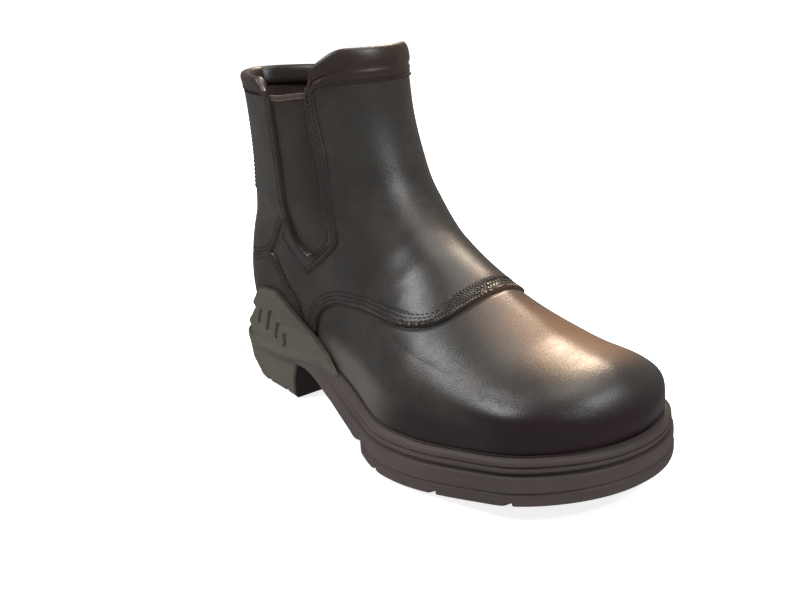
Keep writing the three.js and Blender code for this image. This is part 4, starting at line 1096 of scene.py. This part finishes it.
def pull_strap():
    """Webbing down the back, bowed off the leather, with a pale row of stitches near each edge."""
    form = Form()
    shares = np.linspace(0, 1, 90)
    z = STRAP_BOTTOM + (BACK_WALL_TOP + 2 - STRAP_BOTTOM) * shares
    lift = TOP_LIFT - 0.6 + STRAP_BOW * np.maximum(0, np.sin(math.pi * shares)) ** 0.6
    half = np.array([turn_for_arc(level, STRAP_WIDTH / 2) for level in z])
    across = np.linspace(-1, 1, 33)
    rows = []
    for t in across:
        crown = STRAP_THICKNESS * (1 - 0.35 * abs(t) ** 6) - 0.25 * hill(abs(t) - 0.86, 0.05)
        rows.append(form.row(offset_point(half * t, z, lift + crown)))
    for t in across[::-1]:
        rows.append(form.row(offset_point(half * t, z, lift + 0.3 * STRAP_THICKNESS * abs(t) ** 6)))
    grid = np.array(rows).T
    form.skin(grid, closed=True)
    form.cap(grid[0], False)
    form.cap(grid[-1], True)
    form.build("strap_webbing", WEBBING, "webbing", stands_for=("pull_strap",), crease_angle=45)
    edge_thread = Thread(length=1.6, width=0.7, height=0.35, pitch=2.5)
    for t in (-0.86, 0.86):
        where = offset_point(half * t, z, lift + STRAP_THICKNESS - 0.1)
        edge_thread.sew([(where, upper_normal(half * t, z))])
    edge_thread.build("strap_stitches", PALE_THREAD, "webbing")


# Heel cup
CUP_INSIDE = 2.25
CUP_FOOT = RAND_HEIGHT - 4


def cup_top(s):
    return CUP_HEIGHT * flow_through(CUP_EDGE, np.asarray(s, float) / CUP_LENGTH)


def heel_cup():
    """Rubber cup: a raised rim that runs on into the rand, and under it a bulged field with upright slits."""
    turns, levels = np.linspace(-0.5, 0.5, 600), np.linspace(CUP_FOOT, CUP_HEIGHT + 0.3, 130)
    sheet = Sheet.at_heights(turns, levels)
    top = [(-FAR, -FAR), (-FAR, float(cup_top(-FAR)))]
    top += [(s, float(cup_top(s))) for s in np.linspace(0, CUP_LENGTH, 61)] + [(CUP_LENGTH, -FAR)]
    from_top = sheet.from_outline(top)
    above = sheet.z - RAND_HEIGHT
    front_tail = smooth(70, 112, sheet.s)
    field = smooth(98, 58, sheet.s) * smooth(30, 12, above) * (1 - 0.25 * smooth(7, 0, above))
    bulge = CUP_BULGE + CUP_CORNER_BULGE * smooth(38, 16, sheet.s)
    lift = CUP_INSIDE + CUP_WALL - 0.2 - 1.2 * front_tail - (1 + front_tail) * smooth(1.6, 0, from_top)
    lift += bulge * smooth(3, 14, from_top) * field
    lift += 0.5 * hill(from_top - 1.3, 0.9) - 0.35 * hill(from_top - 4.2, 1.2)
    lift += 0.35 * hill(from_top - 7, 0.9) * smooth(100, 70, sheet.s)
    lift += 0.5 * hill(above - 1.2, 0.9) * smooth(100, 76, sheet.s) - 0.5 * hill(above - 3.2, 1.1)
    for along, high, tall, lean in CUP_SLITS:
        s, z, half = along * SOLE_LENGTH, high * CUP_HEIGHT, tall * CUP_HEIGHT / 2 - 1
        up = np.clip(sheet.z - z, -half, half)
        away = np.hypot(sheet.s - s - up * lean, sheet.z - z - up)
        lift += 0.4 * hill(away - 2, 0.7) - 2.2 * smooth(1.5, 0.6, away)
    sheet.cut("heel_cup_rubber", from_top, lift, CUP_INSIDE, CUP_RUBBER, "heel_rubber",
              stands_for=("heel_cup",))


# Sole
STATIONS = 300
station_shares = share_of(np.linspace(0, 1, STATIONS + 1))


def sole_ring(inset, level, start=0, end=SOLE_LENGTH, flare=0, notch=0):
    """A ring round the sole: along the outer side from the back, and back along the inner side.
    inset, level and notch are numbers or functions of the length along the sole."""
    at = [value if callable(value) else lambda s, fixed=value: np.full(np.shape(s), float(fixed))
          for value in (inset, level, notch)]
    start = max(start, float(at[0](0.0)))
    end = min(end, SOLE_LENGTH - float(at[0](float(SOLE_LENGTH))))
    s = start + (end - start) * station_shares
    sides = []
    for side in (-1, 1):
        width = sole_half_width(s, side, at[0](s)) + flare * station_shares**2 - at[2](s)
        sides.append(np.stack([s, centre_line(s) + side * np.maximum(width, 0.02), at[1](s)], 1))
    return np.concatenate([sides[0], sides[1][::-1]])


def midsole():
    """Side band: rounded rand, dark groove and main band, plain at the heel."""
    form = Form()
    steps = [share for share, _ in SIDE_STEPS]
    shares = np.unique(np.concatenate([np.linspace(a, b, 4) for a, b in zip(steps, steps[1:])]))
    rings = [form.row(sole_ring(4, band_foot))]
    for share in shares:
        stepped, plain = float(flow_through(SIDE_STEPS, share)), float(flow_through(HEEL_STEPS, share))
        rings.append(form.row(sole_ring(
            lambda s: plain + (stepped - plain) * smooth(*STEPS_START, s),
            lambda s: band_foot(s) + (rand_top(s) - band_foot(s)) * share)))
    turns = np.clip(np.arccos(1 - 2 * station_shares) / math.pi, 1e-4, 1 - 1e-4)
    for level, distance in ((0.2, 1.2), (-0.9, 0.1), (-3, -0.3)):
        height = rand_top(station_shares * UPPER_LENGTH) + level
        outer = offset_point(turns, height, distance)
        rings.append(form.row(np.concatenate([outer, offset_point(2 - turns, height, distance)[::-1]])))
    form.skin(rings, closed=True)
    form.build("midsole_rubber", RUBBER, "rubber", stands_for=("midsole",), crease_angle=60)


def in_arch(s):
    """1 in the arch, where the band comes down over the tread."""
    return smooth(HEEL_LENGTH, HEEL_LENGTH + 32, s) * smooth(162, 142, s)


def band_foot(s):
    return arch_level(s) + TREAD_THICKNESS * (1 - in_arch(s))


def notched(places, deep):
    """Depth of the lug notches cut into the edge at these places."""
    if not deep:
        return 0
    return lambda s: 4 * np.clip(sum(smooth(2.3, 1, np.abs(s - place)) for place in places), 0, 1)


def tread_plate(name, span, rings_of, notches, underside, finish, slot, stands_for):
    """A layer of the sole: rings up its side, notched at its edge, and a ribbed underside."""
    form = Form()
    rings = [form.row(sole_ring(inset, level, *span, flare, notched(notches, deep)))
             for inset, level, flare, deep in rings_of]
    form.skin(rings, closed=True)
    half = STATIONS + 1
    outer, inner = form.places[0][:half], form.places[0][half:][::-1]
    across = [rings[0][:half]]
    for share in np.linspace(0, 1, 49)[1:-1]:
        line = outer * (1 - share) + inner * share
        line[:, 2] += underside(line[:, 0], line[:, 1], share)
        across.append(form.row(line))
    across.append(rings[0][half:][::-1])
    form.skin(across)
    form.skin([rings[-1][:half], rings[-1][half:][::-1]], turned=True)
    form.build(name, finish, slot, stands_for=(stands_for,), crease_angle=40)


def chevrons(period, depth):
    """Grooves across the underside that fade out at its edge."""
    def underside(s, y, share):
        edge = smooth(0.06, 0.1, share) * smooth(0.94, 0.9, share)
        wave = np.abs(((s + 0.45 * np.abs(y - centre_line(s))) / period) % 1 - 0.5)
        return depth * edge * smooth(0.17, 0.1, wave)
    return underside


ARCH_RECESS = 7


def outsole():
    """Tread layer in front of the heel, set back under the arch."""
    rows = [(2 * EDGE_ROUND, 0, 1), (0.6, 0.3, 1), (0, EDGE_ROUND, 1), (-0.2, 1.7, 1), (-0.2, 2.5, 0),
            (-0.2, 5.2, 0), (0.2, 5.8, 0), (0.9, TREAD_THICKNESS, 0)]
    rings_of = [(lambda s, inset=inset: inset + ARCH_RECESS * smooth(164, 142, s),
                 lambda s, up=up: arch_level(s) + 0.3 * smooth(164, 142, s) + up, 0, deep)
                for inset, up, deep in rows]
    notches = [share * SOLE_LENGTH for share in TREAD_NOTCHES]
    tread_plate("outsole_rubber", (HEEL_LENGTH + CLEAR, SOLE_LENGTH), rings_of, notches, chevrons(13, 2.2),
                RUBBER, "rubber", "outsole")


def heel_block():
    """Heel with a straight breast, tapered to the floor and notched at its edge."""
    rings_of = [(HEEL_TAPER + EDGE_ROUND, 0, HEEL_FLARE, 1), (HEEL_TAPER + 0.3, 0.3, HEEL_FLARE, 1),
                (HEEL_TAPER, EDGE_ROUND, HEEL_FLARE, 1), (HEEL_TAPER - 0.3, 2.2, HEEL_FLARE, 1),
                (HEEL_TAPER - 0.4, 2.8, HEEL_FLARE, 0), (0.9, 11, 4, 0), (0.2, 18.6, 1.2, 0),
                (0.9, HEEL_HEIGHT + 0.3, 0.8, 0)]
    notches = [share * HEEL_LENGTH for share in HEEL_NOTCHES]
    tread_plate("heel_block_rubber", (0, HEEL_LENGTH), rings_of, notches, chevrons(12, 2.2),
                HEEL_RUBBER, "heel_rubber", "heel_block")


# Floor, light and camera
CAMERA_AZIMUTH = 51.73
CAMERA_ELEVATION = 17.78
CAMERA_ROLL = -3.28
CAMERA_DISTANCE = 0.6168
CAMERA_LENS = 49.15
CAMERA_TARGET = Vector((0.09164, 0.00501, 0.06395))
FLOOR_SIZE = 60
FLOOR_GAP = 0.0006
# Lamps: azimuth and elevation round the boot in degrees, distance, size, watts, colour.
LAMPS = {
    "warm_ceiling_light": (-150, 48, 1.5, 0.35, 20, (1, 0.82, 0.64)),
    "cool_front_light": (100, 46, 1.6, 0.6, 12, (0.95, 0.98, 1)),
    "cool_side_light": (-39, 50, 1.6, 0.5, 13, (0.98, 0.99, 1)),
    "overhead_light": (150, 80, 1.4, 0.7, 6, (1, 0.98, 0.95)),
}


def toward(azimuth, elevation):
    """Direction from the boot at an azimuth and elevation in degrees, as the camera's are counted."""
    azimuth, elevation = math.radians(azimuth), math.radians(elevation)
    return Vector((math.sin(azimuth) * math.cos(elevation), -math.cos(azimuth) * math.cos(elevation),
                   math.sin(elevation)))


def studio():
    """White paper floor, dim room and four soft lamps."""
    bpy.ops.mesh.primitive_plane_add(size=FLOOR_SIZE, location=(0, 0, -FLOOR_GAP))
    floor = bpy.context.object
    floor.name = "floor"
    paper = Finish("white_paper")
    tone = paper.mix(paper.noise(6, 2) * 0.1, rgb(0.93, 0.93, 0.93), rgb(0.9, 0.9, 0.9))
    finish = paper.surface({"Base Color": tone, "Roughness": 0.9, "Specular IOR Level": 0.1,
                            "Emission Color": rgb(1, 1, 1), "Emission Strength": 0.8})
    floor.data.materials.append(finish)
    floor.visible_glossy = False
    world = bpy.data.worlds.new("dim_room")
    world.use_nodes = True
    background = world.node_tree.nodes["Background"]
    background.inputs["Color"].default_value = rgb(1, 1, 1)
    background.inputs["Strength"].default_value = 0.22
    bpy.context.scene.world = world
    bpy.context.scene.view_settings.view_transform = "Standard"
    for name, (azimuth, elevation, distance, size, watts, colour) in LAMPS.items():
        light = bpy.data.lights.new(name, "AREA")
        light.size, light.energy, light.color = size, watts, colour
        lamp = bpy.data.objects.new(name, light)
        way = toward(azimuth, elevation)
        lamp.location = CAMERA_TARGET + way * distance
        lamp.rotation_euler = way.to_track_quat("Z", "Y").to_euler()
        bpy.context.scene.collection.objects.link(lamp)


def camera():
    """Camera at the photograph's viewing angle."""
    back = toward(CAMERA_AZIMUTH, CAMERA_ELEVATION)
    right = Vector((0, 0, 1)).cross(back).normalized()
    up = back.cross(right)
    roll = math.radians(CAMERA_ROLL)
    right, up = right * math.cos(roll) + up * math.sin(roll), up * math.cos(roll) - right * math.sin(roll)
    data = bpy.data.cameras.new("photo_camera")
    data.lens, data.sensor_width, data.sensor_fit = CAMERA_LENS, 36, "HORIZONTAL"
    data.clip_start = 0.01
    made = bpy.data.objects.new("photo_camera", data)
    turn = Matrix((right, up, back)).transposed().to_4x4()
    made.matrix_world = Matrix.Translation(CAMERA_TARGET + back * CAMERA_DISTANCE) @ turn
    bpy.context.scene.collection.objects.link(made)
    bpy.context.scene.camera = made


seam_thread = Thread(length=2.2, width=0.8, height=0.4, pitch=2.8)
for part in (vamp, quarters, heel_pieces, gores, collar):
    part(seam_thread)
seam_thread.build("seam_stitches", THREAD, "leather")
for part in (lining, insole, pull_strap, heel_cup, midsole, outsole, heel_block, studio, camera):
    part()
